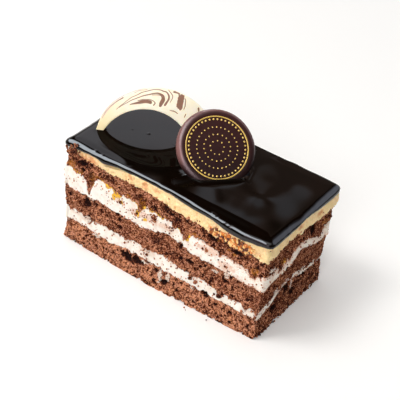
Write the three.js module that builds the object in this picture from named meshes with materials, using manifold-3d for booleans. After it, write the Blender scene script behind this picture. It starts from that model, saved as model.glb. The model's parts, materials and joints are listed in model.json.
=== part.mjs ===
// A portion of layered gateau: chocolate sponge, cream and buttercream under a dark mirror glaze,
// with a chocolate disc and a white chocolate crescent set in the glaze. Millimetres, +Z up.
// The long cut face looks along -Y, and the origin is below the middle of the slice, on the table.

import * as THREE from 'three';
import { mergeVertices } from 'three/addons/utils/BufferGeometryUtils.js';
import Module from 'manifold-3d';

const wasm = await Module();
wasm.setup();

// Driving dimensions of the slice.
const LENGTH = 100;
const WIDTH = 51.9;
const GLAZE_TOP = 51.1;
const GLAZE_FALL = 0.6; // how far the glaze drops from the middle to the right-hand end
const CORNER_RADIUS = 1.5;
const GAP = 0.3; // clearance between touching pieces

// How finely the slice is cut into facets.
const LONG_SIDE_STEPS = 28;
const SHORT_SIDE_STEPS = 14;
const RIM_INSET = 2.5; // the ragged edge keeps its height up to here
const CORE_INSET = 9; // and has died away here

// Decorations. Both stand in the glaze, turned from +X and leaning back from upright, in degrees.
const DISC = {
  centre: [3.9, 1.7, 57.8],
  turn: 50.6,
  lean: 47.6,
  backRadius: 16.7,
  faceRadius: 15,
  thickness: 3.2,
  segments: 48,
};
const ARCH = {
  start: [-47.5, -13.9],
  turn: 32.5,
  lean: 19,
  thickness: 1.8,
  sunk: 1.7,
  bevel: 0.25,
  outer: { x: 27.5, y: -5.3, radius: 26 },
  inner: { x: 23, y: -9, radius: 20.1 },
  segments: 22,
};

const DEGREE = Math.PI / 180;

// The surfaces between the layers: a height for each corner, swells near the cut faces, and raggedness.
// A swell rises (or sinks) by `rise` at x, y and fades over `reach`.
const INTERFACES = {
  bottomSpongeTop: {
    corners: { frontLeft: 10.2, frontRight: 9, backRight: 11.6, backLeft: 10.4 },
    swells: [
      { x: -27, y: -26, reach: 7, rise: -0.9 },
      { x: 50, y: -3, reach: 12, rise: 5.4 },
    ],
    ragged: 0.3,
  },
  middleSpongeFoot: {
    corners: { frontLeft: 17.2, frontRight: 13.4, backRight: 14.2, backLeft: 16.5 },
    swells: [
      { x: -37, y: -26, reach: 4, rise: -2.2 },
      { x: -22, y: -26, reach: 5, rise: -1.1 },
      { x: 1, y: -26, reach: 6, rise: 1.2 },
      { x: 21, y: -26, reach: 4, rise: 1 },
      { x: 50, y: -3, reach: 12, rise: 4.9 },
    ],
    ragged: 0.4,
  },
  middleSpongeTop: {
    corners: { frontLeft: 27.6, frontRight: 25.2, backRight: 25.6, backLeft: 27.4 },
    swells: [
      { x: -9, y: -26, reach: 4, rise: -0.7 },
      { x: 4, y: -26, reach: 7, rise: 2.7 },
      { x: 50, y: -15, reach: 6, rise: 1.6 },
      { x: 50, y: 3, reach: 8, rise: 4.4 },
    ],
    ragged: 0.35,
  },
  topSpongeFoot: {
    corners: { frontLeft: 37.4, frontRight: 31.8, backRight: 34, backLeft: 37.4 },
    swells: [
      { x: -38, y: -26, reach: 3, rise: -5 },
      { x: -33, y: -26, reach: 4, rise: 2.4 },
      { x: -5, y: -26, reach: 35, rise: 1.8 },
      { x: 50, y: 0, reach: 5, rise: 1.8 },
      { x: 50, y: 15, reach: 4.5, rise: -3.6 },
    ],
    ragged: 0.5,
  },
  topSpongeTop: {
    corners: { frontLeft: 45, frontRight: 39.2, backRight: 41.4, backLeft: 44.8 },
    swells: [
      { x: -8, y: -26, reach: 18, rise: 1.6 },
      { x: 50, y: -8, reach: 10, rise: 1.8 },
    ],
    ragged: 0.35,
  },
  glazeFoot: {
    corners: { frontLeft: 47.9, frontRight: 47.9, backRight: 47, backLeft: 48.2 },
    swells: [
      { x: -29, y: -26, reach: 4, rise: -1.3 },
      { x: -36, y: -26, reach: 4, rise: 0.9 },
      { x: -9, y: -26, reach: 13, rise: 1.9 },
      { x: 35, y: -26, reach: 8, rise: -1.9 },
      { x: 50, y: -2, reach: 9, rise: 1.7 },
      { x: 0, y: 0, reach: 8, rise: -2.1 }, // pressed down below the disc
    ],
    ragged: 0.15,
    coreDrop: 0.6,
  },
};

// The layers from the table up. `edge` is how far the wall stands out from the cut line at the foot,
// the waist and the head of the layer, and `rough` how unevenly it does so.
const LAYERS = [
  { name: 'sponge_bottom', foot: null, head: 'bottomSpongeTop', edge: [0, -0.5, -1], rough: 0.45, bow: 1.9 },
  { name: 'cream_lower', foot: 'bottomSpongeTop', head: 'middleSpongeFoot', edge: [-0.9, -0.9], rough: 0.2 },
  { name: 'sponge_middle', foot: 'middleSpongeFoot', head: 'middleSpongeTop', edge: [-0.8, -0.6, 0.1], rough: 0.45 },
  { name: 'cream_upper', foot: 'middleSpongeTop', head: 'topSpongeFoot', edge: [0.1, 0.2, 0], rough: 0.25 },
  { name: 'sponge_top', foot: 'topSpongeFoot', head: 'topSpongeTop', edge: [-0.5, -0.6, -0.4], rough: 0.45 },
  { name: 'buttercream', foot: 'topSpongeTop', head: 'glazeFoot', edge: [-0.1, 0.1, 0], rough: 0.12 },
];

// The glaze's rim from its underside round to its top: how far out, and how high between the two.
const GLAZE_RIM = [
  { out: 0, up: 0 },
  { out: 0.7, up: -0.12 },
  { out: 1, up: 0.3 },
  { out: 0.9, up: 0.66 },
  { out: 0.35, up: 0.93 },
  { out: -0.8, up: 1 },
];

const FINISHES = {
  sponge: { color: '#7a4a33', roughness: 0.95, metalness: 0 },
  cream: { color: '#f1e4d8', roughness: 0.6, metalness: 0 },
  buttercream: { color: '#f2d490', roughness: 0.55, metalness: 0 },
  glaze: { color: '#120b09', roughness: 0.06, metalness: 0 },
  disc: { color: '#35151a', roughness: 0.35, metalness: 0 },
  arch: { color: '#f4ecd0', roughness: 0.4, metalness: 0 },
};

// A repeatable random number from 0 to 1 for each seed.
function chance(seed) {
  const s = Math.sin(seed * 127.1 + 311.7) * 43758.5453;
  return s - Math.floor(s);
}

// An uneven line from -1 to 1 that closes on itself as u goes from 0 to 1 round the slice.
function uneven(u, seed) {
  const turns = [5, 11, 17, 29, 37];
  let sum = 0;
  turns.forEach((n, i) => {
    const phase = chance(seed + i) * 2 * Math.PI;
    sum += Math.sin(2 * Math.PI * n * u + phase);
  });
  return sum / turns.length;
}

// The cut line round the slice, counter-clockwise from the front left corner, seen from above.
function cutLine() {
  const halfLength = LENGTH / 2;
  const halfWidth = WIDTH / 2;
  const line = [];
  const sides = [
    { angle: 0, along: halfLength, out: halfWidth, steps: LONG_SIDE_STEPS },
    { angle: 90, along: halfWidth, out: halfLength, steps: SHORT_SIDE_STEPS },
    { angle: 180, along: halfLength, out: halfWidth, steps: LONG_SIDE_STEPS },
    { angle: 270, along: halfWidth, out: halfLength, steps: SHORT_SIDE_STEPS },
  ];
  for (const side of sides) {
    const turn = side.angle * DEGREE;
    const place = (along, out, spread) => {
      const normal = new THREE.Vector2(Math.sin(spread), -Math.cos(spread));
      const point = new THREE.Vector2(along, -out);
      line.push({
        point: point.rotateAround(new THREE.Vector2(), turn),
        normal: normal.rotateAround(new THREE.Vector2(), turn),
      });
    };
    const reach = side.along - CORNER_RADIUS;
    for (let i = 0; i <= side.steps; i += 1) {
      place(-reach + (2 * reach * i) / side.steps, side.out, 0);
    }
    const slant = CORNER_RADIUS * (1 - Math.SQRT1_2);
    place(side.along - slant, side.out - slant, 45 * DEGREE);
  }
  line.forEach((station, i) => {
    station.u = i / line.length;
    station.cut = station.point;
  });
  return line;
}

const LINE = cutLine();

// The same line drawn in towards the middle, so that every layer has the same facets inside.
// A station remembers its point on the cut line, because the ragged edge has that point's height.
// With a high power the points go straight in and only close up near the corners.
function inset(distance, every, power) {
  const pull = (value, half) => value - Math.sign(value) * distance * Math.abs(value / half) ** power;
  return LINE.filter((_, i) => i % every === 0).map((station) => {
    const { x, y } = station.point;
    return { ...station, point: new THREE.Vector2(pull(x, LENGTH / 2), pull(y, WIDTH / 2)) };
  });
}

const RIM_LINE = inset(RIM_INSET, 1, 8);
const CORE_LINE = inset(CORE_INSET, 2, 1);
const MIDDLE = { point: new THREE.Vector2() };

// Smooth height of an interface at x, y.
function smoothHeight(face, x, y) {
  const { frontLeft, frontRight, backRight, backLeft } = face.corners;
  const s = x / LENGTH + 0.5;
  const t = y / WIDTH + 0.5;
  const front = frontLeft + (frontRight - frontLeft) * s;
  const back = backLeft + (backRight - backLeft) * s;
  let height = front + (back - front) * t;
  for (const swell of face.swells) {
    const away = ((x - swell.x) ** 2 + (y - swell.y) ** 2) / swell.reach ** 2;
    height += swell.rise * Math.exp(-away);
  }
  return height;
}

function interfaceHeight(name, station, isCore) {
  if (name === null) return 0;
  const face = INTERFACES[name];
  if (isCore) {
    return smoothHeight(face, station.point.x, station.point.y) - (face.coreDrop ?? 0);
  }
  const seed = Object.keys(INTERFACES).indexOf(name) * 20;
  return smoothHeight(face, station.cut.x, station.cut.y) + face.ragged * uneven(station.u, seed);
}

function glazeTop(x) {
  return GLAZE_TOP - (GLAZE_FALL * 2 * x) / LENGTH;
}

// Collects the rings of a layer and joins them into one closed body.
class Shell {
  constructor() {
    this.positions = [];
    this.index = [];
  }

  ring(stations, height) {
    const start = this.positions.length / 3;
    stations.forEach((station) => {
      this.positions.push(station.point.x, station.point.y, height(station));
    });
    return { start, count: stations.length };
  }

  // Joins a ring to one of as many points, or of half as many. Faces look outwards where the second
  // ring is above the first, and the other way where they are turned.
  join(first, second, turned = false) {
    const n = first.count;
    const m = second.count;
    for (let i = 0; i < n; i += 1) {
      const a = first.start + i;
      const b = first.start + ((i + 1) % n);
      const p = second.start + Math.floor((i * m) / n);
      const q = second.start + (Math.floor(((i + 1) * m) / n) % m);
      const faces = p === q ? [[a, b, q]] : [[a, b, q], [a, q, p]];
      for (const [i0, i1, i2] of faces) {
        this.index.push(...(turned ? [i1, i0, i2] : [i0, i1, i2]));
      }
    }
  }

  // Fills a ring with a fan round one point.
  fill(ring, middle, faceUp) {
    for (let i = 0; i < ring.count; i += 1) {
      const a = ring.start + i;
      const b = ring.start + ((i + 1) % ring.count);
      this.index.push(middle.start, ...(faceUp ? [a, b] : [b, a]));
    }
  }

  geometry() {
    const geometry = new THREE.BufferGeometry();
    geometry.setAttribute('position', new THREE.Float32BufferAttribute(this.positions, 3));
    geometry.setIndex(this.index);
    return geometry;
  }
}

// The cut line moved outwards by out(station).
function wallLine(out) {
  return LINE.map((station) => ({
    ...station,
    point: station.point.clone().addScaledVector(station.normal, out(station)),
  }));
}

// The bottom sponge is pressed out a little where it meets the table, most at the middle of a side.
function bowOut(station, bow, rise) {
  const along = Math.abs(station.normal.y) > 0.9 ? (2 * station.point.x) / LENGTH : 1;
  return bow * (1 - along ** 2) * (1 - rise) ** 2;
}

// Closes a layer below or above its wall, with the same facets wherever two layers meet.
function cap(shell, wallRing, height, faceUp) {
  const rim = shell.ring(RIM_LINE, (s) => height(s, false));
  const core = shell.ring(CORE_LINE, (s) => height(s, true));
  const middle = shell.ring([MIDDLE], (s) => height(s, true));
  shell.join(rim, wallRing, faceUp);
  shell.join(rim, core, !faceUp);
  shell.fill(core, middle, faceUp);
}

function layerGeometry(layer, seed) {
  const shell = new Shell();
  const footHeight = (station, isCore) =>
    interfaceHeight(layer.foot, station, isCore) + (layer.foot === null ? 0 : GAP / 2);
  const headHeight = (station, isCore) => interfaceHeight(layer.head, station, isCore) - GAP / 2;
  const rings = layer.edge.map((edge, i) => {
    const rise = i / (layer.edge.length - 1);
    const line = wallLine((station) => {
      const rough = layer.rough * uneven(station.u, seed + 7 * i);
      return edge + rough + bowOut(station, layer.bow ?? 0, rise);
    });
    return shell.ring(line, (s) => {
      const low = footHeight(s, false);
      return low + (headHeight(s, false) - low) * rise;
    });
  });
  rings.slice(1).forEach((ring, i) => shell.join(rings[i], ring));
  cap(shell, rings[0], footHeight, false);
  cap(shell, rings.at(-1), headHeight, true);
  return shell.geometry();
}

function glazeGeometry() {
  const shell = new Shell();
  const footHeight = (station, isCore) => interfaceHeight('glazeFoot', station, isCore) + GAP / 2;
  const rings = GLAZE_RIM.map((step) =>
    shell.ring(wallLine(() => step.out), (s) => {
      const low = footHeight(s, false);
      return low + (glazeTop(s.point.x) - low) * step.up;
    }),
  );
  rings.slice(1).forEach((ring, i) => shell.join(rings[i], ring));
  cap(shell, rings[0], footHeight, false);
  cap(shell, rings.at(-1), (s) => glazeTop(s.point.x), true);
  return shell.geometry();
}

// A moulded disc: flat back, drafted side and flat face, grown all round by `grow`.
function discGeometry(grow) {
  const back = DISC.backRadius + grow;
  const face = DISC.faceRadius + grow;
  const top = DISC.thickness + grow;
  const profile = [
    [0, -grow],
    [back - 0.6, -grow],
    [back, 0.5 - grow],
    [back - 0.2, 1.1],
    [face + 0.8, top - 0.8],
    [face, top - 0.15],
    [face - 0.6, top],
    [0, top],
  ].map(([radius, height]) => new THREE.Vector2(radius, height));
  const geometry = new THREE.LatheGeometry(profile, DISC.segments);
  geometry.rotateX(Math.PI / 2);
  return geometry;
}

// A crescent cut by two circles, with its feet going down into the glaze.
function archGeometry(grow) {
  const foot = -ARCH.sunk - grow;
  const outerRadius = ARCH.outer.radius + grow;
  const innerRadius = ARCH.inner.radius - grow;
  const outerEnd = Math.asin((foot - ARCH.outer.y) / outerRadius);
  const innerEnd = Math.asin((foot - ARCH.inner.y) / innerRadius);
  const shape = new THREE.Shape();
  shape.absarc(ARCH.outer.x, ARCH.outer.y, outerRadius, outerEnd, Math.PI - outerEnd, false);
  shape.absarc(ARCH.inner.x, ARCH.inner.y, innerRadius, Math.PI - innerEnd, innerEnd, true);
  const depth = ARCH.thickness + 2 * grow - 2 * ARCH.bevel;
  const geometry = new THREE.ExtrudeGeometry(shape, {
    depth,
    curveSegments: ARCH.segments,
    bevelThickness: ARCH.bevel,
    bevelSize: ARCH.bevel,
    bevelOffset: -ARCH.bevel,
    bevelSegments: 1,
  });
  geometry.translate(0, 0, ARCH.bevel - ARCH.thickness / 2 - grow);
  return geometry;
}

// Stands a flat piece up, leans it back and turns it to its side of the cake.
function standing(item, place) {
  const turn = new THREE.Matrix4().makeRotationZ(item.turn * DEGREE);
  const lean = new THREE.Matrix4().makeRotationX((90 - item.lean) * DEGREE);
  const move = new THREE.Matrix4().makeTranslation(...place);
  return move.multiply(turn).multiply(lean);
}

const DISC_PLACE = standing(DISC, DISC.centre);
const ARCH_PLACE = standing(ARCH, [...ARCH.start, glazeTop(ARCH.start[0] / 2)]);

function toSolid(geometry) {
  const plain = geometry.clone();
  plain.deleteAttribute('normal');
  plain.deleteAttribute('uv');
  const merged = mergeVertices(plain, 1e-4);
  return new wasm.Manifold(
    new wasm.Mesh({
      numProp: 3,
      vertProperties: new Float32Array(merged.attributes.position.array),
      triVerts: new Uint32Array(merged.index.array),
    }),
  );
}

function toGeometry(solid) {
  const mesh = solid.getMesh();
  const geometry = new THREE.BufferGeometry();
  geometry.setAttribute('position', new THREE.Float32BufferAttribute(mesh.vertProperties, 3));
  geometry.setIndex(Array.from(mesh.triVerts));
  return geometry;
}

// The glaze with a pocket for each piece that stands in it.
function pocketedGlaze() {
  const discPocket = toSolid(discGeometry(GAP).applyMatrix4(DISC_PLACE));
  const archPocket = toSolid(archGeometry(GAP).applyMatrix4(ARCH_PLACE));
  return toGeometry(toSolid(glazeGeometry()).subtract(discPocket).subtract(archPocket));
}

function named(name, geometry, finish) {
  const mesh = new THREE.Mesh(geometry, new THREE.MeshStandardMaterial(finish));
  mesh.name = name;
  return mesh;
}

function layerFinish(name) {
  if (name.startsWith('sponge')) return FINISHES.sponge;
  return name.startsWith('cream') ? FINISHES.cream : FINISHES.buttercream;
}

function buildSlice() {
  const slice = new THREE.Group();
  LAYERS.forEach((layer, i) => {
    const geometry = layerGeometry(layer, 200 + 40 * i);
    slice.add(named(layer.name, geometry, layerFinish(layer.name)));
  });
  slice.add(named('glaze', pocketedGlaze(), FINISHES.glaze));

  const disc = named('chocolate_disc', discGeometry(0), FINISHES.disc);
  disc.applyMatrix4(DISC_PLACE);
  const arch = named('chocolate_arch', archGeometry(0), FINISHES.arch);
  arch.applyMatrix4(ARCH_PLACE);
  slice.add(disc, arch);

  const box = new THREE.Box3().setFromObject(slice, true);
  const middle = box.getCenter(new THREE.Vector3());
  slice.position.set(-middle.x, -middle.y, 0);
  return slice;
}

export default buildSlice();
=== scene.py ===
"""Dresses a packed slice of layered gateau: crumb, creams, mirror glaze, chocolate pieces and a plain stage.

Blender's units are metres. The code that shapes surfaces works in millimetres and converts when it makes
a mesh.
"""

import functools
import json
import math

from typing import NamedTuple

import bmesh
import bpy
import numpy as np
from mathutils import Matrix, Vector
from mathutils.bvhtree import BVHTree

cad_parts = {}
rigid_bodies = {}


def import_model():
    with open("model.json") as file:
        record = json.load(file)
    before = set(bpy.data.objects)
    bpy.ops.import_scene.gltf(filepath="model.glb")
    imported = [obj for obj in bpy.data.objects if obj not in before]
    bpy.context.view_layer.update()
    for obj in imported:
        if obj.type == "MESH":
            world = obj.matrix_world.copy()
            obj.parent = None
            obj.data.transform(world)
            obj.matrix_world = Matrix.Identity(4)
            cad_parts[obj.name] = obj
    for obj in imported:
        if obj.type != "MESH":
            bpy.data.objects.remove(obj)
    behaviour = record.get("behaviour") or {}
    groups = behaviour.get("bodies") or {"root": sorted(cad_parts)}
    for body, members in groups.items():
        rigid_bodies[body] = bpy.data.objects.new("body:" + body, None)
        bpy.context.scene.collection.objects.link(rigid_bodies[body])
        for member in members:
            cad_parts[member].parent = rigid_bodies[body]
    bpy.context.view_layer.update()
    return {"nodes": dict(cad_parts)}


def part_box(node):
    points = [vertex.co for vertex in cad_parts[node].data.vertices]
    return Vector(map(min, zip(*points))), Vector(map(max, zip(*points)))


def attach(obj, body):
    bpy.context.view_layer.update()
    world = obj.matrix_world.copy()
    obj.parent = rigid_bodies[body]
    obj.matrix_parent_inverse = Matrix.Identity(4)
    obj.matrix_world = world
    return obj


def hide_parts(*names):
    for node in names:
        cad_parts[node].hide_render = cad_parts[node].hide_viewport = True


bl_info = {
    "name": "Layered Gateau Slice",
    "version": (1, 0, 0),
    "blender": (4, 5, 0),
    "location": "3D View > Sidebar > Gateau",
    "description": "Makes the crumb, creams, glaze, chocolate pieces and stage of a cake slice",
    "category": "Mesh",
}

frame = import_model()

MM = 0.001
DEGREE = math.pi / 180
TAU = 2 * math.pi
BODY = "root"

# The CAD glaze stands out by this much from the cut line round the slice.
RIM_OVERHANG = 1.0


# ---------------------------------------------------------------- properties

def length(name, description, millimetres):
    """A length that a user may change, given here in millimetres."""
    return bpy.props.FloatProperty(
        name=name, description=description, default=millimetres * MM, unit="LENGTH", precision=5)


def angle(name, description, degrees):
    """An angle that a user may change, given here in degrees."""
    return bpy.props.FloatProperty(
        name=name, description=description, default=degrees * DEGREE, subtype="ANGLE")


def amount(name, description, value, unit="NONE"):
    """Any other number that a user may change."""
    return bpy.props.FloatProperty(name=name, description=description, default=value, unit=unit)


def colour(name, description, red, green, blue):
    """A colour that a user may change, given here as it looks on a screen, from 0 to 255."""
    linear = [((c / 255 + 0.055) / 1.055) ** 2.4 if c > 10 else c / 255 / 12.92 for c in (red, green, blue)]
    return bpy.props.FloatVectorProperty(
        name=name, description=description, default=linear, size=3, subtype="COLOR", min=0, max=1)


class GateauSizes(bpy.types.PropertyGroup):
    """Sizes of the surface detail."""
    wall_step: length("Wall grid", "Distance between neighbouring points on the cut faces", 0.25)
    lap: length("Layer lap", "How far each layer runs on behind its neighbour", 0.8)
    pore_depth: length("Pore depth", "Depth of the largest pores in the sponge", 1.0)
    crumb_relief: length("Crumb relief", "Height of the crumb on the sponge", 0.34)
    cream_relief: length("Cream relief", "Unevenness of the cut cream", 0.2)
    glaze_step: length("Glaze grid", "Distance between neighbouring points on the rim of the glaze", 0.5)
    glaze_wave: length("Glaze waves", "Height of the slow waves in the glaze", 0.035)
    disc_edge: length("Disc edge", "Width of the rounded edge of the disc's face", 2.5)
    dot_size: length("Dot size", "Width of a gold dot on the disc", 0.85)
    crumb_size: length("Crumb size", "Mean size of the loose crumbs", 0.6)


class GateauColours(bpy.types.PropertyGroup):
    """Colours of the cake and its decorations."""
    crumb_light: colour("Crumb tops", "Sponge where a crumb stands out", 229, 165, 127)
    crumb_middle: colour("Crumb", "Sponge between its crumbs and its pores", 124, 59, 31)
    # The darkest crumb colour is mostly painted shade, deep in the pores.
    crumb_dark: colour("Pores", "Sponge inside a pore", 24, 4, 0)
    cream: colour("Cream", "Whipped cream", 253, 250, 241)
    # Also the colour of the painted shade in the cream's bubbles and dips.
    cream_shade: colour("Cream, stained", "Whipped cream where it took up crumb, and the painted shade in it", 222, 190, 166)
    buttercream: colour("Buttercream", "Yellow cream under the glaze", 247, 214, 150)
    # Also the colour of the painted shade in the buttercream's tears and towards its right end.
    buttercream_shade: colour("Buttercream, stained", "Yellow cream where it took up syrup, and the painted shade in it", 226, 160, 100)
    syrup: colour("Syrup", "Bright syrup that ran out of the sponge", 240, 184, 20)
    praline: colour("Praline", "Bits of praline in the buttercream", 222, 122, 20)
    glaze: colour("Glaze", "Mirror glaze", 6, 4, 2)
    dark_chocolate: colour("Dark chocolate", "Moulded disc", 56, 19, 16)
    milk_chocolate: colour("Milk chocolate", "Marbling of the crescent", 134, 88, 58)
    white_chocolate: colour("White chocolate", "Crescent", 250, 243, 222)
    # Also the colour of the painted shade near the crescent's foot.
    white_chocolate_deep: colour("White chocolate, deep and shaded", "Crescent near its foot", 246, 226, 170)
    gold: colour("Gold", "Ring and dots on the disc", 240, 204, 84)
    floor: colour("Floor", "Plain pale floor", 250, 249, 247)


class GateauStage(bpy.types.PropertyGroup):
    """Camera and lights."""
    azimuth: angle("Azimuth", "How far round to the right the camera stands", 30.56)
    elevation: angle("Elevation", "How far above the table the camera stands", 36.32)
    roll: angle("Roll", "Turn of the camera about its own axis", 7.57)
    distance: length("Distance", "From the camera to the point that it looks at", 500)
    lens: amount("Lens", "Focal length of the camera", 110.11, "CAMERA")
    key_power: amount("Key light", "Power of the key light", 10.0, "POWER")
    fill_power: amount("Fill light", "Power of the fill light", 3.2, "POWER")
    top_power: amount("Top light", "Power of the top light", 6.0, "POWER")
    card_glow: amount("Card", "Brightness of the card that the glaze mirrors", 7.4)
    room_glow: amount("Room", "Brightness of the room round the table", 0.8)


def settings(kind):
    """One of the three groups of settings."""
    return getattr(bpy.context.scene, "gateau_" + kind)


def millimetres(kind, name):
    """A length from the settings."""
    return getattr(settings(kind), name) / MM


# ---------------------------------------------------------------- repeatable noise

# Odd numbers that stir the bits of a point and a seed together.
STIRS = [np.uint32(number) for number in (374761393, 668265263, 2246822519, 3266489917)]


def chances(ix, iy, iz, seed):
    """A repeatable random number from 0 to 1 for each whole-numbered point."""
    with np.errstate(over="ignore"):
        h = np.uint32(seed % 2 ** 16) * STIRS[3]
        for part, stir in zip((ix, iy, iz), STIRS):
            h = h + part.astype(np.int64).astype(np.uint32) * stir
        h = (h ^ (h >> np.uint32(15))) * STIRS[2]
        h = (h ^ (h >> np.uint32(13))) * STIRS[3]
        h = h ^ (h >> np.uint32(16))
    return h.astype(np.float64) / (2 ** 32 - 1)


def chance(ix, iy, iz, seed):
    """The same for a single point."""
    return chances(*(np.array([i]) for i in (ix, iy, iz)), seed)[0]


def draws(count, stream, seed):
    """The same for each of a number of things. Each stream gives other numbers."""
    index = np.arange(count)
    return chances(index, index * 0, index * 0 + stream, seed)


def noise(points, size, seed):
    """Smooth noise from -1 to 1 with swells about `size` millimetres across."""
    p = points / size
    cell = np.floor(p)
    f = p - cell
    w = f * f * f * (f * (f * 6 - 15) + 10)
    total = np.zeros(len(points))
    for corner in range(8):
        dx, dy, dz = corner & 1, (corner >> 1) & 1, corner >> 2
        weight = (np.where(dx, w[:, 0], 1 - w[:, 0]) * np.where(dy, w[:, 1], 1 - w[:, 1])
                  * np.where(dz, w[:, 2], 1 - w[:, 2]))
        total += weight * chances(cell[:, 0] + dx, cell[:, 1] + dy, cell[:, 2] + dz, seed)
    return 2 * total - 1


def rough(points, size, seed, octaves=3, gain=0.55):
    """Noise with finer and finer swells, from about -1 to 1."""
    total = np.zeros(len(points))
    reach = 0
    for i in range(octaves):
        total += gain ** i * noise(points, size / 2 ** i, seed + 31 * i)
        reach += gain ** i
    return total / reach


def nearest_seed(points, size, seed):
    """Distance in millimetres to the nearest of points scattered one to a cell, and its random number."""
    cell = np.floor(points / size)
    best = np.full(len(points), 1e9)
    number = np.zeros(len(points))
    for i in range(27):
        step = np.array([i % 3 - 1, i // 3 % 3 - 1, i // 9 - 1])
        c = cell + step
        spot = np.stack([chances(c[:, 0], c[:, 1], c[:, 2], seed + k) for k in range(3)], 1)
        away = np.linalg.norm((c + spot) * size - points, axis=1)
        closer = away < best
        best = np.where(closer, away, best)
        number = np.where(closer, chances(c[:, 0], c[:, 1], c[:, 2], seed + 3), number)
    return best, number


def smooth(low, high, value):
    """0 below low, 1 above high, and a smooth step between."""
    t = np.clip((value - low) / (high - low), 0, 1)
    return t * t * (3 - 2 * t)


# ---------------------------------------------------------------- meshes

def new_object(name, vertices, faces, smooth_shaded=True):
    """An object at the origin from points in millimetres and an array, or a list of arrays, of faces."""
    mesh = bpy.data.meshes.new(name)
    groups = [f for f in (faces if isinstance(faces, list) else [faces]) if len(f)]
    corners = np.concatenate([f.ravel() for f in groups]).astype(np.int32)
    sizes = np.concatenate([np.full(len(f), f.shape[1]) for f in groups]).astype(np.int32)
    starts = np.concatenate([[0], np.cumsum(sizes)[:-1]]).astype(np.int32)
    mesh.vertices.add(len(vertices))
    mesh.vertices.foreach_set("co", (np.asarray(vertices) * MM).astype(np.float32).ravel())
    mesh.loops.add(len(corners))
    mesh.loops.foreach_set("vertex_index", corners)
    mesh.polygons.add(len(sizes))
    mesh.polygons.foreach_set("loop_start", starts)
    mesh.polygons.foreach_set("use_smooth", np.full(len(sizes), smooth_shaded))
    mesh.update(calc_edges=True)
    mesh.validate()
    obj = bpy.data.objects.new(name, mesh)
    bpy.context.scene.collection.objects.link(obj)
    return obj


def paint(obj, name, values):
    """Stores one number for each vertex, for the materials to read."""
    attribute = obj.data.attributes.new(name, "FLOAT", "POINT")
    attribute.data.foreach_set("value", np.asarray(values, np.float32))


def stacked_faces(ring_count, n, first=0):
    """Faces between rings of n points that lie one after another, each above or inside the last."""
    r = np.arange(ring_count - 1)[:, None]
    i = np.arange(n)[None, :]
    a = first + r * n + i
    b = first + r * n + (i + 1) % n
    return np.stack([a, b, b + n, a + n], -1).reshape(-1, 4)


def closed_stack(name, rings, bottom, top, smooth_shaded=True):
    """A closed solid from a stack of rings, with a fan to one point at either end."""
    ring_count, n, _ = rings.shape
    vertices = np.concatenate([rings.reshape(-1, 3), [bottom, top]])
    low, high = ring_count * n, ring_count * n + 1
    i = np.arange(n)
    following = (i + 1) % n
    last = (ring_count - 1) * n
    under = np.stack([np.full(n, low), following, i], 1)
    over = np.stack([np.full(n, high), last + i, last + following], 1)
    return new_object(name, vertices, [stacked_faces(ring_count, n), under, over], smooth_shaded)


def finish_piece(obj, material, slot, *nodes):
    """Gives a piece its material and ties it to the frame."""
    obj.data.materials.clear()
    obj.data.materials.append(material)
    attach(obj, BODY)
    if nodes:
        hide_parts(*nodes)
    return obj


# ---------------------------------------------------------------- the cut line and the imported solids

def cut_box():
    """Middle and half sizes of the cut slice in plan, in millimetres."""
    low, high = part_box("glaze")
    middle = np.array([(low.x + high.x) / 2, (low.y + high.y) / 2]) / MM
    half = np.array([high.x - low.x, high.y - low.y]) / 2 / MM - RIM_OVERHANG
    return middle, half


CUT_MIDDLE, CUT_HALF = cut_box()


def cut_line(step, radius=1.0):
    """Evenly spaced points on the rounded rectangle of the cut slice, counter-clockwise from above.

    Gives points (n, 2) and their outward normals (n, 2), starting near the front left corner.
    """
    points, normals = [], []
    reach = CUT_HALF - radius
    for side in range(4):
        turn = side * math.pi / 2
        along, out = (reach[0], reach[1]) if side % 2 == 0 else (reach[1], reach[0])
        c, s = math.cos(turn), math.sin(turn)
        for x in np.linspace(-along, along, max(2, round(2 * along / step)), endpoint=False):
            local = np.array([x, -out - radius])
            points.append([c * local[0] - s * local[1], s * local[0] + c * local[1]])
            normals.append([s, -c])
        arc_steps = max(2, round(radius * math.pi / 2 / step))
        for i in range(arc_steps):
            angle = turn - math.pi / 2 + math.pi / 2 * i / arc_steps
            centre = np.array([c * along + s * out, s * along - c * out])
            normal = np.array([math.cos(angle), math.sin(angle)])
            points.append(centre + radius * normal)
            normals.append(normal)
    return np.array(points) + CUT_MIDDLE, np.array(normals)


def inwards(points, distance):
    """The cut line drawn in by a distance, keeping each point's share of its side."""
    return (points - CUT_MIDDLE) * (1 - distance / CUT_HALF) + CUT_MIDDLE


class Solid:
    """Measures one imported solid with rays, in millimetres."""

    # Where the rays start: above and below the slice, and out from the cut line.
    above, below, outside = 200.0, -50.0, 20.0
    # A wall further than this from the cut line isn't the layer's own wall.
    farthest = 5.0

    def __init__(self, node):
        mesh = frame["nodes"][node].data
        vertices = [v.co / MM for v in mesh.vertices]
        self.tree = BVHTree.FromPolygons(vertices, [tuple(p.vertices) for p in mesh.polygons])

    def height(self, points, from_above):
        """Height of the top (or the underside) at each point in plan."""
        start, down = (self.above, -1) if from_above else (self.below, 1)
        found = [self.tree.ray_cast(Vector((x, y, start)), Vector((0, 0, down)))[0] for x, y in points]
        return np.array([np.nan if hit is None else hit.z for hit in found])

    def reach(self, points, normals, heights):
        """How far the wall stands out from each point along its normal, at the given heights."""
        result = np.zeros(len(points))
        for i, ((x, y), (nx, ny), z) in enumerate(zip(points, normals, heights)):
            start = Vector((x + nx * self.outside, y + ny * self.outside, z))
            hit = self.tree.ray_cast(start, Vector((-nx, -ny, 0)))
            out = np.nan if hit[0] is None else self.outside - hit[3]
            result[i] = out if abs(out) < self.farthest else np.nan
        return result


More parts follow.
